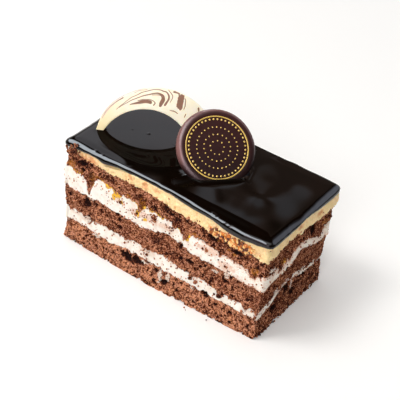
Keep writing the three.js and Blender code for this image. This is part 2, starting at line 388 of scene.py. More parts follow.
def fill_gaps(values):
    """Replaces missed rays by what lies beside them, round the closed line."""
    index = np.arange(len(values))
    good = ~np.isnan(values)
    return np.interp(index, index[good], values[good], period=len(values))


def soften(values, passes):
    """Evens out a closed line of values."""
    for _ in range(passes):
        values = (np.roll(values, 1) + 2 * values + np.roll(values, -1)) / 4
    return values


def along_sides(points, normals):
    """The side that each point is on, and its place along that side as seen from in front of it."""
    side = np.where(np.abs(normals[:, 1]) > 0.7, np.where(normals[:, 1] < 0, "front", "back"),
                    np.where(normals[:, 0] > 0, "right", "left"))
    local = points - CUT_MIDDLE
    place = np.select([side == "front", side == "back", side == "right"],
                      [local[:, 0], -local[:, 0], local[:, 1]], -local[:, 1])
    return side, place


# ---------------------------------------------------------------- layers

class Layer(NamedTuple):
    """How a layer is cut, with its lengths in millimetres."""
    # Height of the tears in its upper edge.
    ragged: float = 0.0
    # How far it stands out at the left end, and at the back of the right end.
    left_out: float = 0.0
    right_out: float = 0.0
    # How much lighter it is than its material, and how much more its tones differ.
    lighter: float = 0.0
    contrast: float = 1.0
    # Painted shade: how much darker it is at the right end, which faces away from the light.
    darker_at_end: float = 0.11


# From the table up.
LAYERS = {
    "sponge_bottom": Layer(0.55, 0.6, lighter=0.08, contrast=1.5, darker_at_end=0.24),
    "cream_lower": Layer(0.65, 1.0),
    "sponge_middle": Layer(0.5, 1.0, contrast=1.05, darker_at_end=0.12),
    "cream_upper": Layer(0.65, 1.5),
    "sponge_top": Layer(0.6, 0.9, 0.3, contrast=1.1, darker_at_end=0.14),
    "buttercream": Layer(0.1, 0.4, 1.2),
    "glaze": Layer(),
}
LAYER_ORDER = list(LAYERS)

# The back is cut like the front and the left end like the right one, read the other way round and shifted.
OPPOSITE = {"front": "back", "right": "left"}
TWIN_SCALE, TWIN_SHIFT = 0.92, 1.5


def on(side, *features):
    """Features of one side, each with the side's name put before its numbers."""
    return [(side, *feature) for feature in features]


def twins(side, place):
    """Side and place of a feature, and of its twin on the far side."""
    return (side, place), (OPPOSITE[side], place * TWIN_SCALE + TWIN_SHIFT)


# Where a layer's upper edge stands up or hangs down: place along the side, half width, rise.
LOBES = {
    "sponge_bottom": on(
        "front", (-16.5, 1.6, 0.6), (-12, 1.2, 0.8), (23.6, 1.6, 1), (-25, 2, -0.6)) + on(
        "right", (-6, 2, 0.8), (-18.5, 1.4, 0.6), (17, 3, 0.5)),
    "cream_lower": on(
        "front", (-47.5, 1.2, -1.6), (-38.2, 2.3, -2), (-31.5, 1, -0.9), (-27, 1.2, -1),
        (-17.5, 0.9, -1.1), (16, 0.9, -1.8), (30.7, 1.5, -2.4), (43, 1.5, -1.9), (48.4, 1.2, -2),
        (36, 1.2, -0.6)) + on(
        "right", (-17, 1.6, -0.9), (12, 1.6, -0.8), (-8, 2.4, -1.6), (-1.5, 1.6, -1.8), (7, 1, -1.2),
        (21, 1.6, -1.4)),
    "sponge_middle": on(
        "front", (9.8, 0.9, -1.3), (12.6, 1.2, 0.7), (-39, 0.9, 0.6), (2, 1.6, 0.4)) + on(
        "right", (-8, 1, -1.4), (2, 1.6, 1), (23, 1.5, -0.8)),
    "cream_upper": on(
        "front", (-46, 1.6, -0.5), (-11.2, 1.4, -3), (5.8, 1.3, -2), (10.6, 1.9, -2.4), (12, 1.3, -2.6),
        (28.7, 0.8, -1), (44.3, 2, -2.5), (-21.5, 1.2, -0.8), (-38, 0.9, -1.2)) + on(
        "right", (-14.3, 1.5, -2.6), (-7.4, 1.3, -1.9), (16.5, 1.5, -1.2)),
    "sponge_top": on(
        "front", (5, 1.2, -0.6), (24, 2, -0.4)) + on(
        "right", (-0.6, 1.2, -1.7)),
}
# Pointed drips of a sponge down the cream below it: place, half width, length.
DRIPS = {"cream_upper": on("front", (-37.3, 2, 4.2), (-11.6, 1.2, 1.6), (-24, 1, 1.4))}


def edge_lobes(layer, side, place):
    """Rise of a layer's upper edge from its lobes and drips."""
    rise = np.zeros(len(place))
    for lobe_side, middle, half_width, height in LOBES.get(layer, []):
        for which, centre in twins(lobe_side, middle):
            away = (place - centre) / half_width
            rise += np.where(side == which, height * np.exp(-(away ** 4)), 0)
    for drip_side, middle, half_width, height in DRIPS.get(layer, []):
        for which, centre in twins(drip_side, middle):
            away = np.abs(place - centre) / half_width
            rise -= np.where(side == which, height * np.clip(1 - away, 0, 1), 0)
    return rise


class Walls:
    """The cut line with the height of every edge between layers along it."""

    # How far inside the cut line the layers' tops and undersides are measured.
    probe_inset = 1.2
    # Heights at which a layer's wall is measured, as shares of its own height.
    probe_rises = (0.1, 0.5, 0.9)

    def __init__(self, step):
        self.points, self.normals = cut_line(step)
        self.side, self.place = along_sides(self.points, self.normals)
        self.solids = {node: Solid(node) for node in LAYER_ORDER}
        inside = self.points - self.probe_inset * self.normals
        self.edges = [np.zeros(len(self.points))]
        for lower, upper in zip(LAYER_ORDER[:-1], LAYER_ORDER[1:]):
            top = fill_gaps(self.solids[lower].height(inside, True))
            foot = fill_gaps(self.solids[upper].height(inside, False))
            edge = soften((top + foot) / 2, 4) + edge_lobes(lower, self.side, self.place)
            flat = np.column_stack([self.points, np.full(len(edge), 40.0 * len(self.edges))])
            tears = rough(flat, 2.6, 11 * len(self.edges), 3) + 0.8 * noise(flat, 1.1, 7)
            tears += 0.5 * noise(flat, 0.55, 8)
            self.edges.append(edge + LAYERS[lower].ragged * tears)

    def reach(self, layer, heights):
        """How far a layer's solid stands out from the cut line at the given heights."""
        return soften(fill_gaps(self.solids[layer].reach(self.points, self.normals, heights)), 3)

    def wall(self, layer):
        """Lower edge, upper edge and the solid's reach at the foot, waist and head of a layer."""
        k = LAYER_ORDER.index(layer)
        low, high = self.edges[k], self.edges[k + 1]
        reach = [self.reach(layer, low + (high - low) * rise) for rise in self.probe_rises]
        if layer.startswith("sponge") and k > 0:
            # The knife dragged the sponge's lower edge out over the cream.
            level = self.edges[k - 1] + 0.9 * (low - self.edges[k - 1])
            reach[0] = np.maximum(reach[0], self.reach(LAYER_ORDER[k - 1], level) + 0.15)
        at_left, at_right = (smooth(0.2, 0.9, way * self.normals[:, 0]) for way in (-1, 1))
        ends = LAYERS[layer].left_out * at_left
        ends += LAYERS[layer].right_out * at_right * smooth(-10, 20, self.points[:, 1])
        return low, high, [values + ends for values in reach]


@functools.cache
def walls():
    """The walls are measured once, when the first layer is made."""
    return Walls(millimetres("sizes", "wall_step"))


def above_edge(points, layer, upper):
    """Height of each wall point above a layer's lower (0) or upper (1) edge."""
    cake = walls()
    edge = cake.edges[LAYER_ORDER.index(layer) + upper]
    return points[:, 2] - np.tile(edge, len(points) // len(cake.points))


def spots(facts, features, softness=1.0):
    """How strongly each wall point lies in any spot: side, place, height, half width, half height."""
    points, side, place = facts
    along = place + 0.55 * noise(points, 1.5, 17) + 0.3 * noise(points, 0.7, 18)
    height = points[:, 2] + 0.45 * noise(points, 1.3, 19) + 0.25 * noise(points, 0.6, 20)
    low, high = 1 - 0.45 * softness, 1 + 0.45 * softness
    total = np.zeros(len(place))
    for spot_side, middle, up, half_width, half_height in features:
        for which, centre in twins(spot_side, middle):
            near = (side == which) & (np.abs(place - centre) < 2 * half_width + 2)
            across = (along[near] - centre) / half_width
            away = np.sqrt(across ** 2 + ((height[near] - up) / half_height) ** 2)
            total[near] = np.maximum(total[near], 1 - smooth(low, high, away))
    return total


# Spots on the cut faces: place, height, half width, half height.
# Syrup that ran out under the top sponge.
SYRUP = on(
    "front", (-48, 39.3, 2.6, 1.6), (-44, 37.6, 2.6, 0.9), (-36, 37.5, 0.9, 3.2), (-33, 39.6, 2.4, 0.7),
    (-28, 38, 1.6, 1.2), (-23.2, 36, 2.2, 1.3), (-24.8, 34.4, 0.8, 1.3), (-20.8, 33.2, 1, 0.8),
    (-18, 37.8, 1.6, 0.7), (-10.8, 37.2, 1.8, 2.4), (-12.4, 32, 1, 1.6), (-8.4, 31, 0.8, 0.8),
    (13.2, 33, 0.7, 2), (-3, 37, 4.5, 0.5), (16.5, 35.8, 2.4, 0.5), (45, 33, 1.8, 1.6),
    (34.6, 36, 1.2, 0.7), (32.2, 36.6, 0.9, 0.6), (26.4, 38.2, 0.9, 0.6)) + on(
    "right", (20, 35, 2.4, 0.9), (-12, 33, 1.6, 1))
# Where more crumb is rubbed into the creams.
DUSTY = on(
    "front", (-13, 32, 3, 1.6), (-6, 32.6, 5, 1.8), (2, 32.4, 3, 1.4), (-22, 33.4, 3, 1.2),
    (22, 32, 4, 1.2), (32, 29, 3, 1.2), (-8, 14, 3, 1.2), (17, 13.6, 3, 1.2)) + on(
    "right", (-2, 15, 8, 1.2), (-13, 31, 3, 1.4))
# Large hollows in the sponges, darkened with painted shade.
HOLLOWS = on(
    "front", (-15.6, 7, 1.7, 1.7), (-10.2, 7.8, 2.2, 1.2), (-38.6, 23.8, 1.5, 1.9),
    (-21.5, 20.1, 1.7, 0.8), (4, 4.6, 1.6, 1), (23.2, 9.2, 1.4, 0.9), (-42, 42.3, 2, 1.3),
    (23.5, 38.3, 1.8, 1), (32.5, 21, 1.6, 0.9), (-31, 22.8, 1, 0.8), (15, 21.4, 1.6, 0.9),
    (36, 37.4, 1.8, 0.9)) + on(
    "right", (10, 37, 1.6, 3), (-4, 13.6, 1.6, 1.6), (2, 8, 2, 1.6), (-13, 8.6, 1.8, 1.2),
    (19, 24.6, 2.6, 0.9), (-16, 40.6, 2.4, 0.8))
# Where the sponges are damp and darker.
DAMP = on(
    "front", (21, 39.6, 3, 1.4), (27, 38.6, 4, 1.6), (33, 37.8, 4, 1.2), (39, 37.2, 3, 1.2),
    (2, 40.6, 3, 1.6), (7, 37.4, 2.4, 2), (-43, 41.6, 4, 1.6), (-28, 41.2, 4, 1.2), (-12, 39.8, 3, 1.2),
    (-3, 23.4, 4, 1.8), (8, 20.4, 4, 1.8), (2, 19, 3, 1.4), (-40, 22.6, 4, 2.2), (44, 19.6, 3, 1.8),
    (-12, 7.6, 5, 2))
# Cream that the knife dragged over the sponges.
SMEARS = on(
    "front", (1.6, 6.2, 0.9, 3.2), (5.2, 7.6, 0.7, 2.6), (33, 24.6, 1.4, 1.8), (27.5, 23.2, 1.6, 0.8),
    (-36.2, 26.7, 1.5, 1), (-38, 14.6, 1.8, 1.6), (-7, 8.6, 2, 0.8), (17.5, 9, 1.2, 0.8),
    (-32.5, 8.8, 2.2, 0.8)) + on(
    "right", (-13, 16.9, 1.4, 2.4), (-7.4, 16.6, 0.9, 1.6), (0, 13.4, 0.8, 2.6), (7.5, 16.2, 3.2, 0.8),
    (-21, 33.4, 2.4, 1), (20, 32, 2, 1.4))


def cobbles(points, size, seed, missing):
    """Rounded lumps packed side by side, from -1 in the gaps to 1, and how far a lump is missing (0 to 1)."""
    away, number = nearest_seed(points, size, seed)
    lump = 1 - 3.2 * (away / size) ** 2
    hole = np.where(number > 1 - missing, 1 - smooth(0.3, 0.62, away / size), 0)
    return np.clip(lump, -1, 1), hole


def sponge_surface(facts, seed):
    """Relief of cut sponge at each point, and its tone: painted shade from 0 (deep in a pore) to 1 (on top of
    a crumb).
    """
    points = facts[0]
    warp = points + 0.35 * np.stack([noise(points, 1.0, seed + 70 + k) for k in range(3)], 1)
    coarse, gap = cobbles(warp, 2.0, seed, 0.1)
    fine, small_gap = cobbles(warp, 0.8, seed + 10, 0.17)
    grain = noise(warp, 0.46, seed + 6)
    slow = rough(points, 6.0, seed + 3, 2)
    hollow = spots(facts, HOLLOWS, 0.8)
    depth = np.maximum(np.maximum(0.7 * gap, 0.6 * small_gap), 1.15 * hollow)
    crumb = 0.2 * coarse + 0.4 * fine + 0.65 * grain
    relief = millimetres("sizes", "crumb_relief") * (crumb + 0.8 * slow)
    relief -= millimetres("sizes", "pore_depth") * depth
    damp = 0.26 * spots(facts, DAMP, 1.4)
    # Painted shade: the tone is darker in the gaps, pores and hollows and lighter on the raised crumb.
    tone = np.clip(0.64 + 0.4 * crumb + 0.1 * noise(points, 3.5, seed + 8) - 0.95 * depth - damp, 0, 1)
    return relief, tone


def cream_surface(facts, seed):
    """Relief of cut cream at each point, and its tone: painted shade from 0 (in a bubble) to 1."""
    points = facts[0]
    stretched = points * np.array([1, 1, 1.8])
    away, number = nearest_seed(points, 2.2, seed + 4)
    bubble = np.where(number > 0.55, 1 - smooth(0.2, 1.0, away / (0.3 + 0.6 * (number - 0.5))), 0)
    slow = rough(stretched, 6.5, seed + 1, 3, 0.55)
    fine = rough(points, 1.5, seed + 2, 2)
    relief = millimetres("sizes", "cream_relief") * (1.6 * slow + 0.6 * fine - 1.8 * bubble)
    tone = np.clip(0.75 + 0.35 * slow + 0.3 * fine - 0.7 * bubble, 0, 1)
    return relief, tone


def buttercream_surface(facts, seed):
    """Relief of buttercream that the knife tore into soft lumps, and its tone: painted shade from 0 in the
    tears to 1.
    """
    points = facts[0]
    lumps = noise(points, 1.7, seed) + 0.7 * noise(points, 0.9, seed + 1)
    lumps += 0.5 * noise(points, 0.55, seed + 4)
    slow = rough(points, 7.0, seed + 2, 2)
    tears = smooth(0.35, 0.8, -noise(points * [1, 1, 0.6], 1.3, seed + 3))
    relief = millimetres("sizes", "cream_relief") * (1.7 * lumps + 1.2 * slow - 2.2 * tears)
    return relief, np.clip(0.75 + 0.25 * lumps - 0.55 * tears, 0, 1)


# The tone about which a layer's contrast turns.
MEAN_TONE = 0.6
# How far in the rings on a layer's hidden faces lie: on the table, and between layers.
UNDERSIDE_INSETS = (14, 8, 3.5, 1.2)
HIDDEN_INSETS = (3,)


def layer_piece(layer, surface, seed, dip):
    """The wall of a layer as a fine grid, closed above and below behind its neighbours, which it dips behind.

    Gives the object; the wall points with their sides and places; how far each lies beyond the layer's own
    edges; and a function that spreads wall values over all of the piece's vertices.
    """
    cake = walls()
    low, high, (foot, waist, head) = cake.wall(layer)
    n = len(low)
    lap = millimetres("sizes", "lap")
    step = millimetres("sizes", "wall_step")
    on_table = layer == LAYER_ORDER[0]
    start = low if on_table else low - lap
    end = high + lap
    rows = max(8, round(float(np.mean(end - start)) / step)) + 1
    rise = np.linspace(0, 1, rows)[:, None]
    z = start + (end - start) * rise
    inner = np.clip((z - low) / np.maximum(high - low, 0.5), 0, 1)
    reach = (foot * (1 - inner) * (1 - 2 * inner) + waist * 4 * inner * (1 - inner)
             + head * inner * (2 * inner - 1))
    side = np.tile(cake.side, rows)
    place = np.tile(cake.place, rows)
    flat = np.column_stack([np.tile(cake.points, (rows, 1)), z.ravel()])
    where = (flat, side, place)
    relief, tone = surface(where, seed)
    beyond = np.maximum(low - z, z - high)
    if on_table:
        beyond = z - high
        relief = relief.reshape(rows, n) * smooth(-0.3, 0.4, z)
        worn = smooth(0.0, 0.7, noise(flat, 1.9, 33) + 0.6 * noise(flat, 0.8, 34)).reshape(rows, n)
        relief = (relief - 1.1 * worn * (1 - smooth(0.1, 1.5, z))).ravel()
    behind = dip * smooth(-0.25, 0.55, beyond)
    out = reach + relief.reshape(rows, n) - behind
    xy = cake.points[None] + cake.normals[None] * out[..., None]
    wall = np.concatenate([xy, z[..., None]], -1)

    def inset_rings(source, insets):
        """Rings drawn in from the wall's first or last row."""
        return [np.column_stack([inwards(source[:, :2], inset), source[:, 2]]) for inset in insets]

    below = inset_rings(wall[0], UNDERSIDE_INSETS if on_table else HIDDEN_INSETS)
    above = inset_rings(wall[-1], HIDDEN_INSETS)
    rings = np.stack(below + list(wall) + above)
    bottom = [*CUT_MIDDLE, float(np.mean(wall[0, :, 2]))]
    top = [*CUT_MIDDLE, float(np.mean(wall[-1, :, 2]))]
    obj = closed_stack(layer + "_cut", rings, bottom, top)

    def spread(values):
        """Wall values for every vertex of the piece, with nothing on the hidden faces."""
        grid = np.asarray(values).reshape(rows, n)
        return np.concatenate([np.zeros(len(below) * n), grid.ravel(), np.zeros(n), [0, 0]])

    look = LAYERS[layer]
    # Painted shade on the right end, which faces away from the light.
    at_end = np.tile(smooth(0.3, 0.9, cake.normals[:, 0]), rows)
    tone = MEAN_TONE + (tone - MEAN_TONE) * look.contrast + look.lighter - look.darker_at_end * at_end
    paint(obj, "tone", spread(np.clip(tone, 0, 1)))
    return obj, where, beyond.ravel(), spread


# ---------------------------------------------------------------- shader nodes

def put(tree, socket, value):
    """Links an output to a socket, or sets the socket to a plain value."""
    if isinstance(value, bpy.types.NodeSocket):
        tree.links.new(value, socket)
    else:
        socket.default_value = value


def add_node(tree, kind, inputs=None, **properties):
    """Adds a node, sets its properties, and sets or links its inputs."""
    node = tree.nodes.new(kind)
    for key, value in properties.items():
        setattr(node, key, value)
    for key, value in (inputs or {}).items():
        put(tree, node.inputs[key], value)
    return node


def mottle_group():
    """Uneven mottling of a given size in millimetres, put out from 0 to 1."""
    group = bpy.data.node_groups.get("Mottle")
    if group:
        return group
    group = bpy.data.node_groups.new("Mottle", "ShaderNodeTree")
    for name, default in (("Size", 1.0), ("Contrast", 0.2)):
        socket = group.interface.new_socket(name, in_out="INPUT", socket_type="NodeSocketFloat")
        socket.default_value = default
    group.interface.new_socket("Mask", in_out="OUTPUT", socket_type="NodeSocketFloat")
    into = group.nodes.new("NodeGroupInput")
    out = group.nodes.new("NodeGroupOutput")
    s = Shading(group)
    texture = s.node("ShaderNodeTexNoise", {
        "Vector": s.node("ShaderNodeTexCoord").outputs["Object"],
        "Scale": s.math("DIVIDE", 1 / MM, into.outputs["Size"]), "Detail": 3.0, "Roughness": 0.6})
    mapped = s.node("ShaderNodeMapRange", {
        "Value": texture.outputs[0], "From Min": s.math("SUBTRACT", 0.5, into.outputs["Contrast"]),
        "From Max": s.math("ADD", 0.5, into.outputs["Contrast"])})
    group.links.new(mapped.outputs["Result"], out.inputs["Mask"])
    return group


class Shading:
    """Short calls for a shader tree. Each one but the last three adds a node and gives its output."""

    def __init__(self, tree):
        self.tree = tree

    def math(self, operation, first, second, clamp=False):
        """Any sum of two numbers or outputs."""
        node = self.node("ShaderNodeMath", {0: first, 1: second}, operation=operation, use_clamp=clamp)
        return node.outputs[0]

    def add(self, first, second):
        return self.math("ADD", first, second)

    def times(self, first, second):
        return self.math("MULTIPLY", first, second)

    def mix(self, factor, first, second, blend="MIX"):
        """Mixes two colours, each a socket or a plain colour."""
        node = self.node("ShaderNodeMix", {0: factor}, data_type="RGBA", blend_type=blend, clamp_factor=True)
        for index, value in ((6, first), (7, second)):
            is_socket = isinstance(value, bpy.types.NodeSocket)
            put(self.tree, node.inputs[index], value if is_socket else (*value, 1))
        return node.outputs[2]

    def tinted(self, first, second):
        """One colour times another."""
        return self.mix(1.0, first, second, "MULTIPLY")

    def grey(self, value):
        """A grey of the given brightness."""
        return self.node("ShaderNodeCombineColor", {0: value, 1: value, 2: value}).outputs[0]

    def ramp(self, value, low, high, to_low=0.0, to_high=1.0, shape="SMOOTHSTEP"):
        """Maps low..high to to_low..to_high, smoothly unless told otherwise."""
        return self.node("ShaderNodeMapRange", {
            "Value": value, "From Min": low, "From Max": high, "To Min": to_low, "To Max": to_high,
        }, interpolation_type=shape).outputs["Result"]

    def attribute(self, name):
        """A number painted on the piece."""
        return self.node("ShaderNodeAttribute", attribute_name=name).outputs["Fac"]

    def mottle(self, size, contrast=0.2):
        """Places the mottling group."""
        values = {"Size": size, "Contrast": contrast}
        return self.node("ShaderNodeGroup", values, node_tree=mottle_group()).outputs["Mask"]

    def node(self, kind, inputs=None, **properties):
        """Adds any node and gives the node itself."""
        return add_node(self.tree, kind, inputs, **properties)

    def shade(self, **sockets):
        """Links or sets sockets of the Principled BSDF, named with underscores for spaces."""
        for key, value in sockets.items():
            put(self.tree, self.tree.nodes["Principled BSDF"].inputs[key.replace("_", " ")], value)

    def bump(self, height, millimetres_high):
        """Raises the surface's normals."""
        self.shade(Normal=self.node("ShaderNodeBump", {
            "Height": height, "Strength": 1.0, "Distance": millimetres_high * MM}).outputs["Normal"])


# ---------------------------------------------------------------- materials

def new_material(name):
    """A material with its Principled BSDF, and short calls for its tree."""
    material = bpy.data.materials.new(name)
    material.use_nodes = True
    return material, Shading(material.node_tree)


def material_of(name):
    """Turns a function that adds a material's nodes into one that gives the material, made once."""
    def wrap(add_nodes):
        @functools.wraps(add_nodes)
        def give():
            if name in bpy.data.materials:
                return bpy.data.materials[name]
            material, shading = new_material(name)
            add_nodes(shading, settings("colours"))
            return material
        return give
    return wrap


# Colours that the settings' own are varied with, as linear red, green and blue.
COOL_CRUMB, WARM_CRUMB = (0.9, 0.86, 0.9), (1.06, 1.0, 0.92)
PURPLE_GRAIN, YELLOW_GRAIN = (0.94, 0.98, 1.12), (1.06, 1.0, 0.84)
WET_PORE, WET_CRUMB = (0.14, 0.07, 0.08), (0.8, 0.5, 0.6)
THIN_SYRUP = (0.55, 0.27, 0.03)
BUTTERCREAM_DEEP, BUTTERCREAM_PALE = (1.0, 0.76, 0.4), (1.0, 0.88, 0.6)
GLAZE_DEEP = (0.005, 0.002, 0.001)
# The second colour here is the disc's painted shade low down.
CHOCOLATE_DEEP, CHOCOLATE_PAINTED_SHADE = (0.03, 0.005, 0.004), (0.014, 0.002, 0.002)
# The disc's painted sheen on the lit part of its edge.
CHOCOLATE_PAINTED_SHEEN = (0.25, 0.11, 0.1)
MILK_CHOCOLATE_DEEP, CRESCENT_SHADE = (0.18, 0.085, 0.042), (0.45, 0.34, 0.3)
GOLD_DEEP = (0.62, 0.4, 0.12)
ROASTED, CARAMEL = (0.2, 0.03, 0.006), (1.0, 0.76, 0.45)
PRALINE_BURNT, PRALINE_PALE = (0.1, 0.018, 0.002), (1.0, 0.66, 0.26)


@material_of("Chocolate sponge")
def sponge_material(s, c):
    """Crumb by its tone, which carries painted shade, with smears of cream and stains of syrup."""
    fine = s.mottle(0.4)
    grit = s.add(s.times(fine, 1.2), s.times(s.mottle(0.8, 0.25), 0.45))
    # The tone is painted shade: dark in the pores, lighter on raised crumb.
    tone = s.add(s.times(s.attribute("tone"), 1.35), grit)
    tone = s.math("SUBTRACT", tone, 1.11, clamp=True)
    crumb = s.mix(s.ramp(tone, 0.0, 0.5, shape="LINEAR"), c.crumb_dark, c.crumb_middle)
    crumb = s.mix(s.ramp(tone, 0.5, 1.0, shape="LINEAR"), crumb, c.crumb_light)
    crumb = s.tinted(crumb, s.mix(s.mottle(5.0), COOL_CRUMB, WARM_CRUMB))
    crumb = s.tinted(crumb, s.mix(s.mottle(1.1), PURPLE_GRAIN, YELLOW_GRAIN))
    smear = s.times(s.attribute("smear"), s.ramp(s.mottle(0.6), 0.1, 0.8, 0.2, 1.2))
    crumb = s.mix(s.ramp(smear, 0.3, 0.6), crumb, s.mix(fine, c.cream_shade, c.cream))
    wet = s.tinted(c.syrup, s.mix(fine, WET_PORE, WET_CRUMB))
    syrup = s.attribute("syrup")
    soaked = s.times(syrup, s.ramp(s.mottle(1.1, 0.25), 0.2, 0.8, 0.3, 1.0))
    crumb = s.mix(s.ramp(soaked, 0.1, 0.8, 0.0, 0.75), crumb, wet)
    s.shade(Base_Color=crumb, Roughness=s.ramp(syrup, 0.0, 1.0, 0.9, 0.45), Specular_IOR_Level=0.08)
    s.bump(fine, 0.2)


@material_of("Whipped cream")
def cream_material(s, c):
    """Cream with bubbles, specks, rubbed-in crumb and runs of syrup, and painted shade by its tone."""
    dust = s.attribute("dust")
    # Painted shade: the cream is darker in its bubbles and dips, by the tone.
    base = s.mix(s.ramp(s.attribute("tone"), 0.1, 0.85), c.cream_shade, c.cream)
    base = s.mix(s.times(s.mottle(3.0, 0.25), 0.3), base, c.cream_shade)
    speck = s.times(s.ramp(s.mottle(0.55, 0.3), 0.8, 0.98), s.ramp(dust, 0.0, 1.0, 0.35, 1.0))
    base = s.mix(s.times(speck, 0.5), base, c.cream_shade)
    stain = s.ramp(s.add(dust, s.mottle(0.7, 0.25)), 0.85, 1.7)
    base = s.mix(s.times(stain, 0.75), base, s.mix(0.5, c.cream_shade, c.crumb_light))
    syrup = s.times(s.attribute("syrup"), s.ramp(s.mottle(0.7, 0.25), 0.0, 0.7, 0.3, 1.15))
    syrup = s.ramp(syrup, 0.12, 0.9)
    base = s.mix(s.ramp(syrup, 0.0, 0.45), base, THIN_SYRUP)
    base = s.mix(s.ramp(syrup, 0.35, 0.8), base, c.syrup)
    s.shade(Base_Color=base, Roughness=0.55, Specular_IOR_Level=0.35, Subsurface_Weight=0.25,
            Subsurface_Scale=0.0015, Subsurface_Radius=(1.0, 0.7, 0.5))
    s.bump(s.mottle(0.8, 0.3), 0.05)


@material_of("Yellow buttercream")
def buttercream_material(s, c):
    """Torn yellow cream, stained, with painted shade in its tears, and flecked where the praline is."""
    base = s.mix(s.mottle(1.3, 0.25), c.buttercream, BUTTERCREAM_DEEP)
    base = s.mix(s.ramp(s.mottle(0.45, 0.25), 0.55, 1.0, 0.0, 0.6), base, c.buttercream_shade)
    base = s.mix(s.ramp(s.mottle(0.6, 0.25), 0.45, 0.0, 0.0, 0.7), base, BUTTERCREAM_PALE)
    # Painted shade: darker in the tears, by the tone.
    base = s.mix(s.ramp(s.attribute("tone"), 0.0, 0.7, 0.45, 0.0), base, c.buttercream_shade)
    stain = s.add(s.attribute("stain"), s.times(s.mottle(1.6, 0.25), 0.5))
    base = s.mix(s.ramp(stain, 0.5, 1.3), base, c.buttercream_shade)
    roast = s.mix(s.ramp(s.mottle(0.8), 0.5, 0.9), c.praline, ROASTED)
    roast = s.mix(s.ramp(s.mottle(0.65), 0.55, 0.9), roast, CARAMEL)
    near = s.ramp(s.attribute("praline"), 0.2, 0.8)
    base = s.mix(s.times(near, s.ramp(s.mottle(1.5), 0.35, 0.65)), base, roast)
    s.shade(Base_Color=base, Roughness=0.45, Specular_IOR_Level=0.4, Subsurface_Weight=0.2,
            Subsurface_Scale=0.0012)
    s.bump(s.mottle(0.7, 0.3), 0.04)


@material_of("Mirror glaze")
def glaze_material(s, c):
    """Nearly black gloss, with a coat where the rim catches the light."""
    s.shade(Base_Color=s.mix(s.mottle(12.0, 0.25), c.glaze, GLAZE_DEEP),
            Coat_Weight=s.ramp(s.attribute("rim"), 0.0, 1.0), Coat_Roughness=0.05, Coat_IOR=1.5,
            Roughness=0.03, IOR=1.1)


@material_of("Moulded dark chocolate")
def dark_chocolate_material(s, c):
    """Satin dark chocolate, with painted shade low down and a painted sheen round the lit part of its edge.
    """
    edge = s.attribute("edge")
    base = s.mix(s.mottle(2.2, 0.25), c.dark_chocolate, CHOCOLATE_DEEP)
    # Painted shade: darker low down.
    base = s.mix(s.attribute("low"), base, CHOCOLATE_PAINTED_SHADE)
    # Painted sheen where the rounded edge faces the light.
    base = s.mix(s.times(s.ramp(edge, 0.0, 1.0), 0.85), base, CHOCOLATE_PAINTED_SHEEN)
    roughness = s.add(s.ramp(edge, 0.0, 1.0, 0.32, 0.2), s.times(s.mottle(1.4, 0.3), 0.1))
    s.shade(Base_Color=base, Roughness=roughness, Specular_IOR_Level=0.3)
    s.bump(s.mottle(0.9, 0.3), 0.02)


@material_of("Marbled white chocolate")
def white_chocolate_material(s, c):
    """White chocolate with painted shade near its foot and along part of its outer edge, and streaks of milk
    chocolate.
    """
    # Painted shade: darker and yellower near the foot.
    base = s.mix(s.attribute("foot"), c.white_chocolate, c.white_chocolate_deep)
    base = s.mix(s.times(s.mottle(3.0, 0.25), 0.35), base, c.white_chocolate_deep)
    streak = s.mix(s.mottle(0.9, 0.3), c.milk_chocolate, MILK_CHOCOLATE_DEEP)
    base = s.mix(s.attribute("marbling"), base, streak)
    # Painted shade along part of the outer edge.
    base = s.mix(s.times(s.attribute("stain"), 0.6), base, CRESCENT_SHADE)
    # Painted light: the emission makes the crescent glow, standing for light that comes through the thin
    # chocolate from behind.
    s.shade(Base_Color=base, Emission_Color=base, Emission_Strength=0.24, Roughness=0.36,
            Specular_IOR_Level=0.4, Subsurface_Weight=0.15, Subsurface_Scale=0.001)
    s.bump(s.mottle(2.0, 0.3), 0.03)


@material_of("Edible gold")
def gold_material(s, c):
    """Gold, a little uneven."""
    s.shade(Base_Color=s.mix(s.mottle(0.8, 0.3), c.gold, GOLD_DEEP), Metallic=0.15, Roughness=0.35)


@material_of("Praline")
def praline_material(s, c):
    """Praline, burnt, golden or pale by its tone."""
    light = s.add(s.attribute("tone"), s.times(s.mottle(0.9, 0.3), 0.4))
    base = s.mix(s.ramp(light, 0.3, 0.6), PRALINE_BURNT, c.praline)
    base = s.mix(s.ramp(light, 0.6, 0.95), base, PRALINE_PALE)
    s.shade(Base_Color=base, Roughness=0.32, Specular_IOR_Level=0.3)
    s.bump(s.mottle(0.5, 0.3), 0.04)


# ---------------------------------------------------------------- layers of the cake

class GATEAU_OT_sponges(bpy.types.Operator):
    """Make the three chocolate sponges, with pores, crumb and smears of cream"""
    bl_idname = "gateau.sponges"
    bl_label = "Sponges"

    def execute(self, context):
        for i, layer in enumerate(("sponge_bottom", "sponge_middle", "sponge_top")):
            obj, where, beyond, spread = layer_piece(layer, sponge_surface, 100 + 40 * i, 1.6)
            height = where[0][:, 2]
            # Most crumbs lie near the foot, and none below it or behind a neighbour.
            crumbs = smooth(0.3, 0.5, height) * (1 - smooth(0.2, 0.5, beyond))
            paint(obj, "crumbs", spread(crumbs * np.maximum(0.4, 1 - smooth(0.8, 1.6, height))))
            patchy = 0.5 + 0.7 * rough(where[0], 2.4, 77 + i, 3)
            edge = np.clip(beyond + 1.0, 0, 1.6) / 1.6
            paint(obj, "smear", spread(np.maximum(spots(where, SMEARS), np.clip(edge * patchy, 0, 1))))
            paint(obj, "syrup", spread(spots(where, SYRUP, 1.6)))
            finish_piece(obj, sponge_material(), "sponge", layer)
        return {"FINISHED"}


